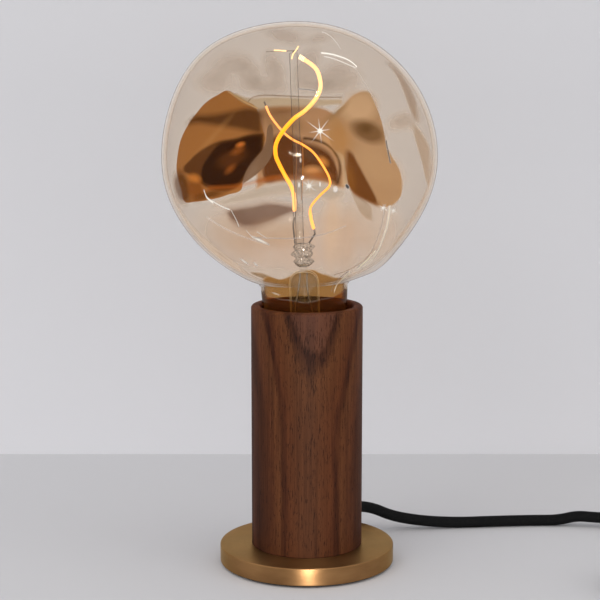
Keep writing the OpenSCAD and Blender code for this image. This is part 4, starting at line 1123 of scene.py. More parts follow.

# Painted light and shade on the far wall: reflections of the room and orange glints of the strands.
FAR_PAINTED_LIGHT: tuple[PaintedLight, ...] = (
    # grey clouds of the upper half
    Spot(MAUVE, 0.45, 13, (228, 66), (19, 12), 25),
    Spot(MAUVE, 0.45, 12, (214, 84), (16, 11), -10),
    Spot(MAUVE, 0.5, 10, (275, 70), (10, 18), 20),
    Spot(MAUVE, 0.4, 8, (284, 36), (18, 8), -15),
    Spot(SMOKE, 0.5, 10, (262, 87), (26, 9), -8),
    Spot(SMOKE, 0.45, 10, (250, 72), (11, 16), 35),
    Spot(rgb(146, 140, 148), 0.45, 10, (306, 70), (11, 22), -20),
    Spot(MAUVE, 0.36, 6, (318, 39), (12, 4), 10),
    Spot(DUSK, 0.45, 12, (334, 76), (22, 12), 25),
    Spot(DUSK, 0.45, 10, (322, 87), (20, 9), 0),
    Spot(rgb(150, 138, 134), 0.35, 8, (350, 84), (14, 8), 40),
    # the lower half: rose beige, a mauve bank under the band, and pale upright bands
    Spot(rgb(170, 122, 98), 0.42, 26, (262, 246), (46, 24), -20),
    Spot(rgb(170, 122, 98), 0.42, 26, (328, 238), (48, 32)),
    Spot(rgb(160, 130, 106), 0.40, 16, (232, 232), (34, 17), -30),
    Leaf(rgb(108, 80, 74), 0.9, 6,
         ((226, 208), (238, 206), (252, 204), (268, 201), (285, 203), (303, 207)),
         ((226, 214), (236, 224), (250, 228), (268, 224), (285, 217), (303, 210))),
    Spot(rgb(170, 142, 122), 0.5, 12, (282, 232), (30, 14)),
    Spot(rgb(184, 152, 134), 0.35, 16, (374, 222), (26, 30), 20),
    Leaf(rgb(150, 130, 116), 0.6, 1.5, ((352, 190), (358, 195), (364, 200), (372, 207)),
         ((352, 194), (358, 208), (366, 218), (372, 220))),
    Spot(rgb(214, 188, 172), 0.5, 10, (332, 222), (9, 40), -3),
    Spot(rgb(196, 166, 148), 0.35, 10, (346, 236), (8, 34), -4),
    Leaf(rgb(176, 170, 176), 0.8, 5,
         ((214, 202), (235, 195), (256, 188), (272, 184), (292, 181), (312, 182), (330, 186), (346, 191)),
         ((214, 205), (235, 203), (256, 199), (272, 196), (292, 194), (312, 196), (330, 199), (346, 195))),
    # the band across the middle
    Leaf(rgb(190, 174, 158), 0.85, 2.0,
         ((236, 93), (250, 98), (262, 97), (280, 97), (300, 98), (320, 99), (342, 99)),
         ((236, 96), (250, 110), (262, 112), (280, 112), (300, 110), (320, 106), (342, 104))),
    Leaf(rgb(178, 136, 104), 0.95, 3.0,
         ((256, 112), (264, 108), (280, 106), (300, 106), (320, 107), (334, 114), (345, 130)),
         ((256, 190), (264, 185), (280, 182), (300, 181), (320, 182), (334, 186), (345, 189))),
    Spot(rgb(112, 76, 54), 0.7, 8, (280, 112), (18, 4), 3),
    Spot(rgb(146, 112, 84), 0.7, 8, (284, 122), (22, 8), -15),
    Leaf(rgb(96, 54, 26), 0.95, 5,
         ((262, 160), (268, 142), (280, 134), (296, 136), (306, 142), (318, 146), (328, 152), (336, 166),
          (339, 184)),
         ((262, 168), (268, 182), (280, 178), (296, 177), (306, 176), (318, 177), (328, 180), (336, 184),
          (339, 186))),
    Spot(rgb(104, 78, 62), 0.7, 7, (311, 154), (9, 7), -35),
    Spot(rgb(216, 146, 80), 0.85, 5, (323, 161), (6, 4), -40),
    Spot(rgb(214, 158, 112), 0.85, 6, (312, 171), (10, 5), 0),
    Spot(rgb(176, 108, 62), 0.7, 5, (320, 176), (11, 4), 0),
    Spot(rgb(142, 84, 48), 0.75, 5, (283, 178), (20, 3), 6),
    Spot(PEACH, 0.7, 10, (330, 139), (12, 8), -25),
    Streak(SEPIA, 0.9, 1.6, ((303, 138), (312, 139), (322, 142), (330, 147), (337, 156)), 2.0),
    Streak(SEPIA, 0.85, 1.8, ((335, 152), (339, 160), (340, 170), (337, 184)), 2.2, True),
    Streak(rgb(196, 172, 152), 0.85, 2.0, ((338, 150), (343, 160), (345.5, 172), (345, 186)), 4.2, True),
    # the leaf at the left
    Leaf(OCHRE, 1.0, 0.5, LEAF_TOP, LEAF_FOOT),
    Leaf(rgb(176, 150, 122), 0.8, 1.4, ((230, 91), (238, 95), (247, 101), (257, 107)),
         ((230, 93), (238, 99.5), (247, 104.5), (257, 109))),
    Leaf(rgb(92, 58, 32), 0.95, 5,
         ((187, 122), (195, 116), (208, 115), (222, 113), (236, 110), (250, 108), (262, 112)),
         ((187, 126), (195, 123), (208, 124), (222, 126), (236, 128), (250, 131), (262, 134))),
    Spot(rgb(180, 132, 86), 0.6, 5, (210, 140), (22, 2.6), 48),
    Leaf(rgb(92, 56, 30), 0.95, 2.0,
         ((184, 166), (190, 160), (196, 154), (206, 147), (219, 141), (235, 138), (252, 133.5), (264, 133)),
         ((184, 171), (190, 174), (196, 178), (206, 186), (219, 190), (235, 188), (252, 168), (264, 150))),
    Leaf(UMBER, 0.97, 2.5,
         ((201, 176), (203, 166), (209, 156), (216, 147), (221, 143), (235, 140), (250, 136), (262, 134.5)),
         ((201, 178), (203, 181), (209, 184), (216, 186), (221, 187), (235, 185), (250, 164), (262, 149))),
    Spot(rgb(92, 52, 24), 0.75, 6, (232, 158), (16, 8), 20),
    Spot(rgb(206, 122, 54), 0.9, 3, (240.5, 144.5), (4.5, 2.6), 20),
    Spot(rgb(146, 82, 34), 0.7, 4, (238, 150), (7, 3.5), 25),
    Spot(rgb(150, 84, 34), 0.75, 4, (231, 168), (6, 3), 40),
    Spot(rgb(88, 50, 14), 0.85, 4, (183, 186), (6.5, 17), 14),
    Spot(rgb(130, 74, 30), 0.8, 5, (196, 187), (7, 14), 12),
    Spot(rgb(204, 132, 66), 0.8, 4, (195.5, 177), (6, 3.6), -30),
    Streak(rgb(168, 92, 38), 0.6, 2.4,
           ((208, 187.5), (220, 187), (235, 186), (250, 183), (266, 179), (282, 176.5)), 3.0),
    Spot(rgb(84, 46, 14), 0.75, 5, (211, 194), (14, 4), 10),
    Leaf(rgb(130, 104, 90), 0.97, 0.8,
         ((243, 181), (247, 170), (255, 159), (263, 149), (266.4, 139), (267.6, 127), (271, 124),
          (273.4, 134)),
         ((243, 184), (247, 181), (255, 175.5), (263, 168), (268, 162), (272, 155), (273.2, 150),
          (273.4, 140))),
    Streak(rgb(206, 172, 134), 0.9, 0.6,
           ((228, 91.5), (236, 96.5), (245, 102), (253, 106), (258, 108.5)), 0.8),
    Streak(rgb(112, 90, 66), 0.85, 0.8,
           ((248, 102), (251, 98.5), (257, 96), (264, 95.2), (280, 95.5), (300, 96.5), (342, 97.2)), 0.9),
    Streak(rgb(170, 108, 60), 0.8, 0.6, ((296, 139), (296.6, 160), (296, 185), (297.5, 205)), 0.7, True),
    Streak(rgb(186, 122, 70), 0.8, 0.6, ((302, 139), (303, 160), (302.5, 180), (301.5, 200)), 0.7, True),
    # the tan field at the right
    Leaf(rgb(180, 144, 114), 0.95, 1.8,
         ((328, 124), (337, 111), (344, 104), (355, 94), (368, 91.5), (374, 99), (379, 112), (383, 128),
          (386, 143), (391, 155), (398, 167), (402, 181)),
         ((328, 126), (334, 149), (343, 155), (346, 172), (350, 188), (356, 195), (362, 198.5), (377, 205.5),
          (387, 206.5), (396, 201.5), (401.4, 192), (402, 182))),
    Spot(rgb(214, 184, 162), 0.8, 12, (360, 106), (17, 16)),
    Spot(rgb(190, 158, 134), 0.7, 13, (378, 166), (16, 24), 60),
    Spot(rgb(184, 134, 82), 0.5, 13, (341, 138), (12, 18), 10),
    Spot(rgb(152, 122, 88), 0.7, 6, (336, 112), (12, 3), 42),
    Spot(rgb(116, 84, 54), 0.85, 7, (368, 131), (18, 11), -25),
    Spot(rgb(100, 70, 40), 0.7, 6, (366, 128), (6, 5)),
    Leaf(rgb(110, 64, 26), 0.95, 4.0,
         ((346, 150), (351, 152), (357, 162), (364, 175), (371, 188), (378, 202)),
         ((346, 168), (351, 190), (357, 196), (364, 200), (371, 203), (378, 206))),
    Spot(rgb(146, 98, 50), 0.6, 6, (350, 178), (4, 14), 8),
    # the edge bands at the right
    Spot(rgb(128, 112, 104), 0.5, 9, (402, 121), (15, 9), 25),
    Leaf(rgb(146, 118, 96), 0.7, 4.0,
         ((386, 61), (394, 66), (402, 75), (411, 90), (418, 108)),
         ((386, 63), (394, 72), (402, 88), (411, 112), (418, 124))),
    Leaf(rgb(160, 134, 112), 0.7, 4.5,
         ((412, 122), (421, 132), (429, 148), (433, 170)), ((412, 130), (421, 160), (429, 190), (433, 196))),
    Leaf(rgb(176, 148, 118), 0.6, 4.0,
         ((384, 258), (396, 238), (408, 222), (420, 200), (430, 182)),
         ((384, 264), (396, 254), (408, 240), (420, 222), (430, 200))),
)  # fmt: skip

# Painted highlights, glints and the lines of reflections on the globe's near wall.
NEAR_PAINTED_LIGHT: tuple[PaintedLight, ...] = (
    Streak(rgb(132, 100, 68), 0.7, 0.5,
           ((355, 68), (362, 79), (370, 92), (377, 107), (382, 120)), 0.6, True),
    Streak(rgb(70, 56, 42), 0.9, 0.5, ((386.5, 141), (388.5, 152), (391, 164)), 1.0, True),
    Streak(rgb(74, 66, 60), 0.85, 0.4, ((298, 89), (306, 89.6), (315, 90.6)), 0.7),
    Streak(WHITE, 1.0, 0.5, ((321, 53), (330, 54), (338, 56), (350, 61), (357, 67)), 0.95),
    Streak(WHITE, 0.8, 0.5, ((324, 56.5), (333, 58.5), (342, 62), (356, 68)), 0.5),
    Streak(WHITE, 0.5, 0.5, ((322, 32), (327, 34), (336, 42), (341, 50)), 0.5),
    Streak(WHITE, 1.0, 0.6, ((203.5, 190), (206, 197), (209, 200.5), (213, 203)), 1.5),
    Streak(WHITE, 0.9, 0.5, ((206, 198), (213, 202), (222, 207), (230, 210)), 0.8),
    Streak(WHITE, 0.75, 0.4, ((231, 210.5), (234, 216), (237, 222), (239, 227)), 0.45, True),
    Streak(WHITE, 0.6, 0.5, ((245.6, 230), (250, 235), (254, 239)), 0.6),
    Spot(WHITE, 1.0, 0.8, (260, 240.8), (8.5, 1.3), -27),
    Streak(WHITE, 0.7, 0.4, ((256.7, 232), (262, 235.5), (267, 239)), 0.5),
    Spot(WHITE, 0.85, 0.8, (244, 262), (4.5, 0.9), -38),
    Spot(WHITE, 0.85, 0.8, (255.5, 265), (2.6, 1.0), -50),
    Streak(rgb(216, 192, 166), 0.45, 1.2, ((206, 217), (220, 226), (236, 234), (252, 240), (269, 245)), 1.0),
    Streak(rgb(140, 104, 70), 0.7, 0.5,
           ((385, 205), (383, 220), (377, 240), (369, 256), (357, 269)), 0.7, True),
    Streak(rgb(250, 234, 206), 0.85, 0.8,
           ((390, 206), (388, 222), (382, 242), (374, 258), (362, 270)), 1.5, True),
    Streak(rgb(176, 124, 66), 0.8, 0.5, ((376, 247), (370, 255), (360, 264), (348, 271), (334, 276)), 0.9),
    Streak(CREAM, 0.9, 0.6, ((376, 251), (368, 260), (360, 267)), 1.6),
    Streak(rgb(250, 232, 196), 0.85, 0.8, ((334, 290), (339, 284), (345, 278), (351, 273)), 2.2),
    Streak(rgb(70, 36, 10), 0.85, 0.6, ((331, 290), (336, 283), (342, 277), (349, 272)), 0.9),
    Spot(CREAM, 0.5, 1.0, (276, 292), (3.5, 0.8), -10),
    Spot(CREAM, 0.9, 1.0, (366, 262), (7, 1.0), 48),
    Spot(CREAM, 0.8, 0.8, (359, 269), (4, 0.8), 40),
    Streak(rgb(120, 92, 70), 0.55, 0.8, ((252, 238), (270, 238.5), (290, 239), (318, 236), (346, 226)), 0.7),
    *star((320, 131), 9.5, 2.3),
    *star((309, 186), 5.5, 2.0),
    Spot(WHITE, 0.9, 0.6, (320, 184.5), (0.7, 2.4)),
    Spot(WHITE, 0.9, 0.6, (299, 185), (0.8, 2.6)),
    Spot(rgb(250, 240, 228), 0.8, 1.4, (335.5, 189.5), (2.2, 2.8)),
    Spot(rgb(250, 226, 190), 0.8, 0.8, (300.5, 160), (0.8, 2.2)),
    *star((383.5, 208.5), 3.6, 1.3),
    *star((393.5, 211), 3.2, 1.1),
    Spot(rgb(34, 34, 40), 0.95, 0.8, (347.4, 186.8), (1.5, 2.6), 35),
)  # fmt: skip


@dataclass(frozen=True)
class LustreWithPaintedLight:
    """Blown glass with a smoke-amber lustre, and a thin painted layer of reflections, glints and shade that
    covers more or less of its clear wall. The painted colours are lifted, because the wall in front of
    them and its tint dim them."""

    name: str
    painted_patches: tuple[PaintedLight, ...] = ()
    far: bool = True
    tint: Colour = (0.982, 0.945, 0.900)
    amber: Colour = (0.92, 0.69, 0.40)
    # Painted reflections where the wall is seen edge on: the fine line's colour, the pale band's, which also
    # lies under the painted patches, and the dark rim's.
    painted_film: Colour = rgb(196, 170, 142)
    pale: Colour = rgb(252, 244, 236)
    rim: Colour = rgb(126, 112, 100)
    tan: tuple[Colour, Colour] = (rgb(124, 80, 36), rgb(104, 58, 28))
    # Painted shade of the neck: its colour below the wood's rim, and at its sides seen edge on.
    neck_painted_shade: tuple[Colour, Colour] = (rgb(52, 27, 6), rgb(58, 29, 7))
    neck_top: float = 192.5
    # The height below which the neck's painted shade begins.
    neck_shade_top: float = 179.0
    lift: Colour = (1.26, 1.42, 1.36)

    def _paint_patches(self, s: Shader, wave: Value, colour: Any, cover: Any) -> tuple[Any, Any]:
        """Lays the painted patches over a colour and its cover, one after another; the wave sways some of
        them.
        """
        x, _, z = s.axes
        sway = (wave - 0.5) * 4
        firm, swayed = Chart(s, x, z, self.far), Chart(s, x + sway, z + sway, self.far)
        for painted_patch in self.painted_patches:
            mask = painted_patch.mask(swayed if painted_patch.sways else firm) * painted_patch.cover
            lifted = tuple(min(c * k, 1.0) for c, k in zip(painted_patch.colour, self.lift))
            colour = s.blend(mask, colour, lifted)
            cover = cover + (1 - cover) * mask
        return colour, cover

    def material(self) -> bpy.types.Material:
        """The painted layer lies over the clear wall as far as its cover goes. Where the wall is seen edge
        on, a dark rim, a pale band and a fine line are painted for its reflections there, and the gloss grows
        with the fifth power of that. The neck is amber below a ragged edge, and painted shade darkens it
        below the wood's rim and at its sides."""
        s = Shader(self.name)
        _, y, z = s.axes
        edge = s.edge_on()
        # Painted reflections where the wall is seen edge on: a dark rim, a pale band and a fine line.
        rim = edge.step(0.91, 0.05)
        pale = edge.step(0.80, 0.05) * (1 - rim)
        line = 1 - (edge - 0.765).size().step(0.012, 0.012)
        wave = s.grain(0.03, 0.03, 2.0)
        colour = s.blend(rim, s.blend(line, self.pale, self.painted_film), self.rim)
        colour, cover = self._paint_patches(s, wave, colour, rim * 0.66 + pale * 0.5 + line * 0.3)
        ragged = (s.grain(0.04, 0.02, 1.0) - 0.5) * 14
        neck = 1 - (z + ragged - y * 0.16).step(self.neck_top, 0.9)
        # Painted shade: the neck darkens below the wood's rim and at its sides, where it is seen edge on.
        lower = 1 - (z + ragged * 0.5).step(self.neck_shade_top, 0.8)
        side = edge.step(0.66, 0.22)
        tan = s.blend(wave.step(0.5, 0.1), *self.tan)
        colour = s.blend(neck, colour, s.blend(side, s.blend(lower, tan, self.neck_painted_shade[0]), self.neck_painted_shade[1]))
        cover = cover + (lower * 0.26 + side * 0.5 + 0.24 - cover) * neck
        painted_film = s.solid(Base_Color=colour, Roughness=0.5, Specular_IOR_Level=0.0)
        wall = s.mixed(neck, s.clear(self.tint), s.clear(self.amber))
        normal = s.bump(s.grain(0.05, 0.03, 2.0), 1.2, 0.5)
        shine = (edge**5) * 0.35 + 0.002
        gloss = s.gloss(0.03, Normal=normal)
        return s.done(s.mixed(shine.held(), s.mixed(cover.held(), wall, painted_film), gloss))


@dataclass(frozen=True)
class ClearGlass:
    """Clear worked glass with painted lines along the edges that are seen side on, for its reflections and
    refraction there, and with knots in it.
    """

    name: str
    tint: Colour = (0.985, 0.98, 0.97)
    edge_colour: Colour = rgb(84, 72, 64)
    edge_at: float = 0.66
    cover: float = 0.8
    knots: float = 0.12
    # How brightly the painted edge lines glow.
    glow: float = 0.0
    shine: float = 0.04

    def material(self) -> bpy.types.Material:
        """A layer in the edge colour is painted over the wall where it is seen nearly edge on, and along its
        knots.
        """
        s = Shader(self.name)
        edge = s.edge_on()
        knot = 1 - (s.grain(0.35, 0.45) - 0.5).size().step(0.03, 0.03)
        painted_film = s.solid(
            Base_Color=self.edge_colour, Roughness=0.3, Emission_Color=self.edge_colour,
            Emission_Strength=self.glow,
        )  # fmt: skip
        part = edge.step(self.edge_at, 0.2) * self.cover + knot * self.knots
        body = s.mixed(part.held(), s.clear(self.tint), painted_film)
        return s.done(s.mixed((edge**4) * 0.4 + self.shine, body, s.gloss(0.05)))


@dataclass(frozen=True)
class Glow:
    """A coated strand that glows in one colour, and in others before and after two shares of its length."""

    name: str
    middle: Colour
    start: Colour
    end: Colour
    reach: Pair
    strength: float

    def material(self) -> bpy.types.Material:
        """The glow's colour follows the distance along the strand, with the beads under its coat."""
        s = Shader(self.name)
        _, along = s.surface_map()
        beads = (s.grain(1.1, 1.1, 2.0) - 0.5) * 0.5
        where = along + beads * 0.3
        head, foot = 1 - where.step(self.reach[0], 0.22), where.step(self.reach[1], 0.16)
        colour = s.blend(foot, s.blend(head, self.middle, self.start), self.end)
        dull = tuple(c * k for c, k in zip(self.middle, (1.0, 0.8, 0.5)))
        glow = s.blend((beads + 0.25).held(), colour, dull)
        surface = s.solid(
            Base_Color=self.middle, Roughness=0.4, Emission_Color=glow, Emission_Strength=self.strength
        )
        return s.done(surface)


@dataclass
class Strand:
    """A glowing strand: its names, its route, its thickness radius, its finish, the finish of any coil on
    its head, how much it thickens after a share of its length, the share that each end is drawn in over,
    and how thick the tip stays."""

    name: str
    node: str
    route: np.ndarray
    thick: float
    finish: Glow
    curl: Glow | None = None
    thickens: float = 0.0
    thick_from: float = 0.84
    drawn_in: float = 0.012
    tip: float = 0.45

    def rings(self, leaning: Callable[[np.ndarray], np.ndarray]) -> np.ndarray:
        """Rings of the strand, drawn in at its two ends, along its route turned by a function."""
        along = np.linspace(0, 1, len(self.route))
        ends = smooth01(along / self.drawn_in) * smooth01((1 - along) / self.drawn_in)
        grown = 1 + self.thickens * smooth01((along - self.thick_from) / 0.06)
        wide = self.thick * grown * (self.tip + (1 - self.tip) * ends)
        return swept(leaning(self.route), wide, 14, NEARLY_UP)


@dataclass
class Bulb:
    """The blown globe, its stem and press, the glass rod, the wires and the two glowing strands. The globe's
    three sizes are its half width and its half heights above and below its widest level; a dent has its
    direction and elevation in degrees, its depth and its width in degrees."""

    cap_z: float = 139.7
    lean: float = 2.0
    globe: Point = (92.4, 90.6, 88.0)
    lift: float = 140.0
    neck_r: float = 28.7
    neck_foot: float = 12.3
    neck_rise: float = 40.0
    neck_swell: float = 0.7
    neck_gap: float = 3.2
    neck_start: float = -5.0
    throat: float = 70.0
    throat_ease: float = 12.0
    crown: float = 89.0
    wall: float = 1.2
    sides: int = 256
    dents: tuple[tuple[float, float, float, float], ...] = (
        (180, 50, 4.6, 24), (0, -34, -2.2, 20), (180, -34, -2.2, 16), (180, -52, -3.2, 12),
        (0, -58, 2.6, 12), (-50, 6, -4.2, 22), (-130, 10, -4.6, 22), (-90, -42, -3, 18),
        (-90, 46, -3.2, 20), (90, 12, -4.5, 26), (45, -12, -2.6, 20), (135, -14, -3, 20), (60, 52, -3, 18),
    )  # fmt: skip
    strand_r: float = 16.0
    strand_foot: float = 91.3
    strand_h: float = 119.0
    front_t: float = 1.35
    back_t: float = 0.75
    rod: Pair = (-1.8, 2.7)
    flare_r: float = 10.0
    flare_top: float = 56.0
    flare_wall: float = 0.8
    press: Pair = (67.0, 82.8)
    press_flat: float = 0.52
    wire: float = 0.45
    fine_wire: float = 0.09
    hook_lift: float = 1.2
    clip_reach: float = 2.57

    def leaning(self, points: np.ndarray) -> np.ndarray:
        """Turns points of the glass by the lean about Y and lifts them to the screw cap's top."""
        points = np.asarray(points, float)
        c, s = math.cos(math.radians(self.lean)), math.sin(math.radians(self.lean))
        x, y, z = points[..., 0], points[..., 1], points[..., 2]
        return np.stack([x * c - z * s, y, x * s + z * c + self.cap_z], -1)

    def _swell(self, az: np.ndarray, el: np.ndarray) -> np.ndarray:
        """How far the dents push the wall out at a direction and elevation in radians: the sum of each
        depth times exp(-(angle from the dent's middle / its width) squared)."""
        way = toward(az, el)
        total = np.zeros(way.shape[:-1])
        for around, rise, depth, width in self.dents:
            middle = toward(math.radians(around), math.radians(rise))
            angle = np.degrees(np.arccos(np.clip(way @ middle, -1, 1)))
            total += depth * np.exp(-((angle / width) ** 2))
        return total

    def envelope(self, inset: float, neck_rows: int, globe_rows: int) -> np.ndarray:
        """Rings of the glass, inset from its outside. The neck eases from its foot to the throat; above
        it an ellipsoid of half widths r, r and up is scaled at each point by 1 + (swell - inset) / r.

        Args:
            inset: How far inside the outer wall the rings lie.
            neck_rows: The rings of the neck.
            globe_rows: The rings of the globe.

        Returns:
            The rings from the neck's foot to the crown.
        """
        az = np.linspace(0, 2 * np.pi, self.sides, endpoint=False)[None]
        r, up, down = self.globe
        neck_top = self.lift - down * math.sin(math.radians(self.throat)) - self.neck_gap
        s = np.linspace(self.neck_start, neck_top, neck_rows)[:, None]
        wide = self.neck_foot + (self.neck_r - self.neck_foot) * smooth01(s / self.neck_rise)
        wide = wide + self.neck_swell * smooth01((s - self.neck_rise) / (neck_top - self.neck_rise)) - inset
        neck = np.stack([wide * np.cos(az), wide * np.sin(az), s + 0 * az], -1)
        el = np.radians(np.linspace(-self.throat, self.crown, globe_rows))[:, None]
        ease = smooth01((np.degrees(el) + self.throat) / self.throat_ease)
        k = 1 + (self._swell(*np.broadcast_arrays(az, el)) * ease - inset) / r
        level, high = r * np.cos(el) * k, np.where(el < 0, down, up)
        globe = np.stack([level * np.cos(az), level * np.sin(az), self.lift + high * np.sin(el) * k], -1)
        return self.leaning(np.concatenate([neck, globe]))

    def _glass(self, kit: Dressing) -> None:
        """Makes the envelope with both its walls; the outer wall's back and front each have their own painted
        light.
        """
        inner, outer = self.envelope(self.wall, 22, 88)[::-1], self.envelope(0.0, 30, 140)
        rows = np.arange(len(inner) + len(outer) - 1)[:, None]
        behind = np.arange(self.sides)[None] < self.sides // 2
        slots = np.where(rows < len(inner), 2, np.where(behind, 0, 1))
        skin = Skin().add(np.concatenate([inner, outer]), slot=slots)
        made = skin.piece(
            "globe_glass",
            LustreWithPaintedLight("lustre_back_painted_light", FAR_PAINTED_LIGHT, True).material(),
            LustreWithPaintedLight("lustre_front_painted_light", NEAR_PAINTED_LIGHT, False, lift=(1.0, 1.0, 1.0)).material(),
            LustreWithPaintedLight("lustre_inside_painted_light").material(),
            sharp=80,
        )
        kit.stand_in(made, "bulb", "lustre_glass", "bulb_glass")

    def _tube(self) -> np.ndarray:
        """Rings of the flared tube: up its outside, over its dome, and down its inside."""
        flare, top, wall = self.flare_r, self.flare_top, self.flare_wall
        foot, pinch, shrink = self.neck_foot - self.wall - 0.4, self.press[0] + 1, flare - 3
        outer, inner = np.radians(np.arange(12, 84, 8)), np.radians(np.arange(80, -1, -10))
        outside = [(foot, -4.5), (foot, 0), (flare, 8), (flare, top)]
        outside += [(3 + shrink * math.cos(a), top + 8 * math.sin(a)) for a in outer]
        outside += [(3, top + 8.2), (2.6, pinch)]
        inside = [(2.2 + shrink * math.cos(a), top + 7 * math.sin(a)) for a in inner]
        inside += [(flare - wall, 8.3), (foot - wall, 0.3), (foot - wall, -4.5)]
        closing = [(0.05, pinch), (0.05, top + 7)]
        return turned(outside + closing + inside + outside[:1], 96)

    def _lump(self) -> np.ndarray:
        """Rings of the pinched press: an oval whose half widths are its profile's, in and out by waves
        round it and up it."""
        places = [0, 0.1, 0.22, 0.36, 0.52, 0.7, 0.86, 1]
        widths = [3.4, 5.6, 6.8, 4.8, 7.2, 5.6, 7.0, 5.2]
        rise = np.linspace(0, 1, 30)[:, None]
        a = np.linspace(0, 2 * np.pi, 48, endpoint=False)[None]
        wave = 1 + 0.12 * np.sin(3 * a + 9 * rise) + 0.08 * np.sin(5 * a - 14 * rise)
        wide = np.interp(rise, places, widths) * wave
        high = self.press[0] + rise * (self.press[1] - self.press[0]) + 0 * a
        return np.stack([wide * np.cos(a), self.press_flat * wide * np.sin(a), high], -1)

    def _stem(self, kit: Dressing) -> None:
        """Makes the flared tube with its press, and the rod that stands on it."""
        # Painted light: the tube's cream edges glow a little for the strands' light caught in them, and the
        # press and the rod have painted grey and dark edge lines.
        painted_glow_tube = ClearGlass(
            "stem_clear_painted_glow", edge_colour=rgb(252, 228, 176), edge_at=0.82, cover=0.95, knots=0.04, glow=0.15
        )
        worked = ClearGlass(
            "press_clear_painted_edges", edge_colour=rgb(112, 104, 98), edge_at=0.6, cover=0.8, knots=0.65, shine=0.14
        )
        drawn = ClearGlass("rod_clear_painted_edges", edge_colour=rgb(70, 56, 46), edge_at=0.56, cover=0.95, knots=0.0)
        skin = Skin().add(self.leaning(self._tube()), ends=False).add(self.leaning(self._lump()), slot=1)
        made = skin.piece("stem_and_press", painted_glow_tube.material(), worked.material())
        kit.stand_in(made, "bulb", "stem_glass", "bulb_stem")
        middle, radius = self.rod
        low, high = self.press[1], self.strand_foot + self.strand_h
        line = [(radius * 0.9, low), (radius, low + 1)]
        line += [(radius, z) for z in np.linspace(low + 4, high - 3, 18)]
        line += arc((radius - 1, high - 1), 1, 0, 80, 5) + [(0.3, high)]
        rings = turned(line, 40)
        rings[..., 0] += middle
        rod = Skin().add(self.leaning(rings)).piece("glass_rod", drawn.material())
        kit.stand_in(rod, "bulb", "rod_glass", "support_rod")

    def _route(self, points: Sequence[Point]) -> np.ndarray:
        """A strand's route, from shares of the winding's radius and height."""
        return through(points, 10) * [self.strand_r, self.strand_r, self.strand_h] + [0, 0, self.strand_foot]

    def _strands(self, kit: Dressing) -> None:
        """Makes the two strands along their wound routes, the coil at the front one's head, and the wires."""
        front = self._route((
            (0.16, 0, 0.975), (0.76, -0.2, 0.914), (0.95, -0.35, 0.849), (0.94, -0.5, 0.793),
            (0.71, -0.7, 0.738), (0.29, -0.87, 0.682), (-0.18, -0.85, 0.639), (-0.65, -0.62, 0.571),
            (-0.96, -0.25, 0.499), (-1, 0.12, 0.432), (-0.87, 0.42, 0.376), (-0.64, 0.55, 0.309),
            (-0.4, 0.5, 0.247), (-0.3, 0.36, 0.186), (-0.3, 0.3, 0.106),
        ))  # fmt: skip
        back = self._route((
            (-1.34, 0.1, 0.712), (-1.14, 0.4, 0.645), (-0.66, 0.75, 0.555), (-0.26, 0.85, 0.509),
            (0.11, 0.8, 0.482), (0.57, 0.65, 0.436), (0.93, 0.4, 0.368), (1.21, 0.05, 0.295),
            (1.19, -0.25, 0.25), (0.8, -0.38, 0.203), (0.4, -0.4, 0.141), (0.38, -0.32, 0.08),
            (0.49, -0.2, 0.01),
        ))  # fmt: skip
        cream, rose = rgb(255, 243, 212), rgb(255, 210, 165)
        honey, blush, straw = rgb(255, 170, 70), rgb(255, 196, 140), rgb(255, 212, 130)
        thick = Glow("glow_front", rgb(255, 176, 30), cream, rose, (0.32, 0.86), 1.05)
        thin = Glow("glow_back", honey, blush, straw, (0.16, 0.88), 1.0)
        # Painted glow: the fine wire coiled on the front strand's head glows cream, for the strands' light on
        # it.
        curl = Glow("glow_coil", cream, cream, cream, (0.5, 0.5), 1.2)
        for strand in (
            Strand("strand_front", "filament_front", front, self.front_t, thick, curl=curl),
            Strand("strand_back", "filament_back", back, self.back_t, thin, thickens=0.5),
        ):
            skin, finishes = Skin().add(strand.rings(self.leaning)), [strand.finish.material()]
            if strand.curl:
                skin.add(self._coil(strand.route), slot=1)
                finishes.append(strand.curl.material())
            made = skin.piece(strand.name, *finishes)
            kit.stand_in(made, "bulb", f"{strand.name}_glow", strand.node)
        self._wires(kit, front, back)

    def _coil(
        self, route: np.ndarray, winds: float = 3.5, pitch: float = 1.1, wire: float = 0.32
    ) -> np.ndarray:
        """Rings of fine wire that winds round the front strand's head."""
        turns = np.linspace(0, winds, 60)[:, None]
        way = (route[4] - route[0]) / np.linalg.norm(route[4] - route[0])
        side = np.cross(way, (0, 1, 0))
        side /= np.linalg.norm(side)
        rise = np.cross(way, side)
        round_it = side * np.cos(2 * np.pi * turns) + rise * np.sin(2 * np.pi * turns)
        points = route[0] + way * (turns * pitch - 0.4) + round_it * self.front_t
        return swept(self.leaning(points), wire, 8)

    def _past(self, end: np.ndarray, before: np.ndarray) -> tuple[float, ...]:
        """The place past a strand's end where its clip stands, in line with the place before it."""
        way = end - before
        return tuple(end + way / np.linalg.norm(way) * self.front_t * self.clip_reach)

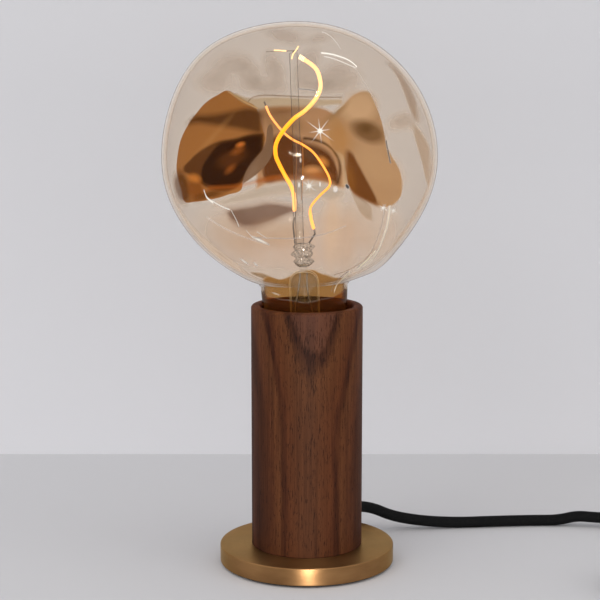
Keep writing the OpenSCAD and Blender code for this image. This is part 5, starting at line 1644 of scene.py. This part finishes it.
    def _wires(self, kit: Dressing, front: np.ndarray, back: np.ndarray) -> None:
        """Makes the hook at the rod's top, and the two leads from the strands to the press and below it."""
        rod_x, rod_r = self.rod
        top, low, press = self.strand_foot + self.strand_h, self.flare_top, self.press[1]
        hook, over = top + self.hook_lift, -rod_r - 0.6
        left = rod_x - self.strand_r - 2
        dark = [
            ([(left, 0, hook), (left + 9, 0, hook), (rod_x - 2, 0, hook), (rod_x + 3, 0, hook)], 0.7),
            ([(rod_x, 0, top - 0.2), (rod_x, 0, hook)], 1.0),
            ([(rod_x + 1.6, 0.2, hook), (rod_x + 1.6, over, hook)], 0.8),
            ([self._past(front[-1], front[-3]), (-5.9, 4.0, 95), (-5.6, 2.2, 88), (-5.2, 1.0, press)], 1.35),
            ([self._past(back[-1], back[-3]), (7.8, -1.8, press + 5.4), (4.4, 0, press + 0.2)], 1.35),
        ]
        for side in (-1, 1):
            leg = [
                (2.4, 0, low + 6.6), (2.6 - side * 0.6, 0.6, low), (3.6 - side, 0, low * 0.86),
                (5.4 - side, -0.8, low * 0.7), (7.2, 0, low * 0.4), (6, 0, -7.4),
            ]  # fmt: skip
            dark.append(([(side * x, y, z) for x, y, z in leg], 1.2))
        cross = [
            (rod_x - 1.2, over, hook - 5.4), (rod_x - 0.2, over, hook - 2.2), (rod_x + 1.8, over, hook + 0.2),
            (rod_x + 3.6, over, hook + 3),
        ]  # fmt: skip
        strip = [(left + 5.2, 0, hook + 0.7), (left + 8, 0, hook + 0.5), (left + 13.4, 0, hook)]
        lit = [(cross, 0.95), (strip, 1.2)]
        fine = [([(left + 0.4, 0, hook), self._past(back[0], back[2])], self.fine_wire / self.wire)]
        skin = Skin()
        for slot, runs in enumerate((dark, lit, fine)):
            for points, share in runs:
                tube = swept(self.leaning(through(points, 8)), self.wire * share, 10, NEARLY_BACK)
                skin.add(tube, slot=slot)
        # Painted glow: the hook's cross piece and strip glow cream, for the strands' light on the wire.
        cream = rgb(255, 226, 176)
        glow = Glow("glow_hook", cream, cream, cream, (0.5, 0.5), 0.9)
        thread = ClearGlass("fine_wire", cover=0.5)
        made = skin.piece("wires", Finish.DARK_WIRE.made(), glow.material(), thread.material())
        kit.stand_in(made, "bulb", "dark_wire", "hook_wire", "lead_wires")

    def build(self, kit: Dressing) -> None:
        """Makes the glass, what stands in it, and the strands."""
        self._glass(kit)
        self._stem(kit)
        self._strands(kit)


def main() -> None:
    """Loads the frame and builds every part in order."""
    logging.basicConfig(level=logging.INFO, format="%(name)s: %(message)s")
    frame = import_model()
    kit = Dressing(frame["nodes"])
    Studio().build()
    Flex().build(kit)
    Foot().build(kit)
    Body().build(kit)
    Fittings().build(kit)
    Bulb().build(kit)


if __name__ == "__main__":
    main()
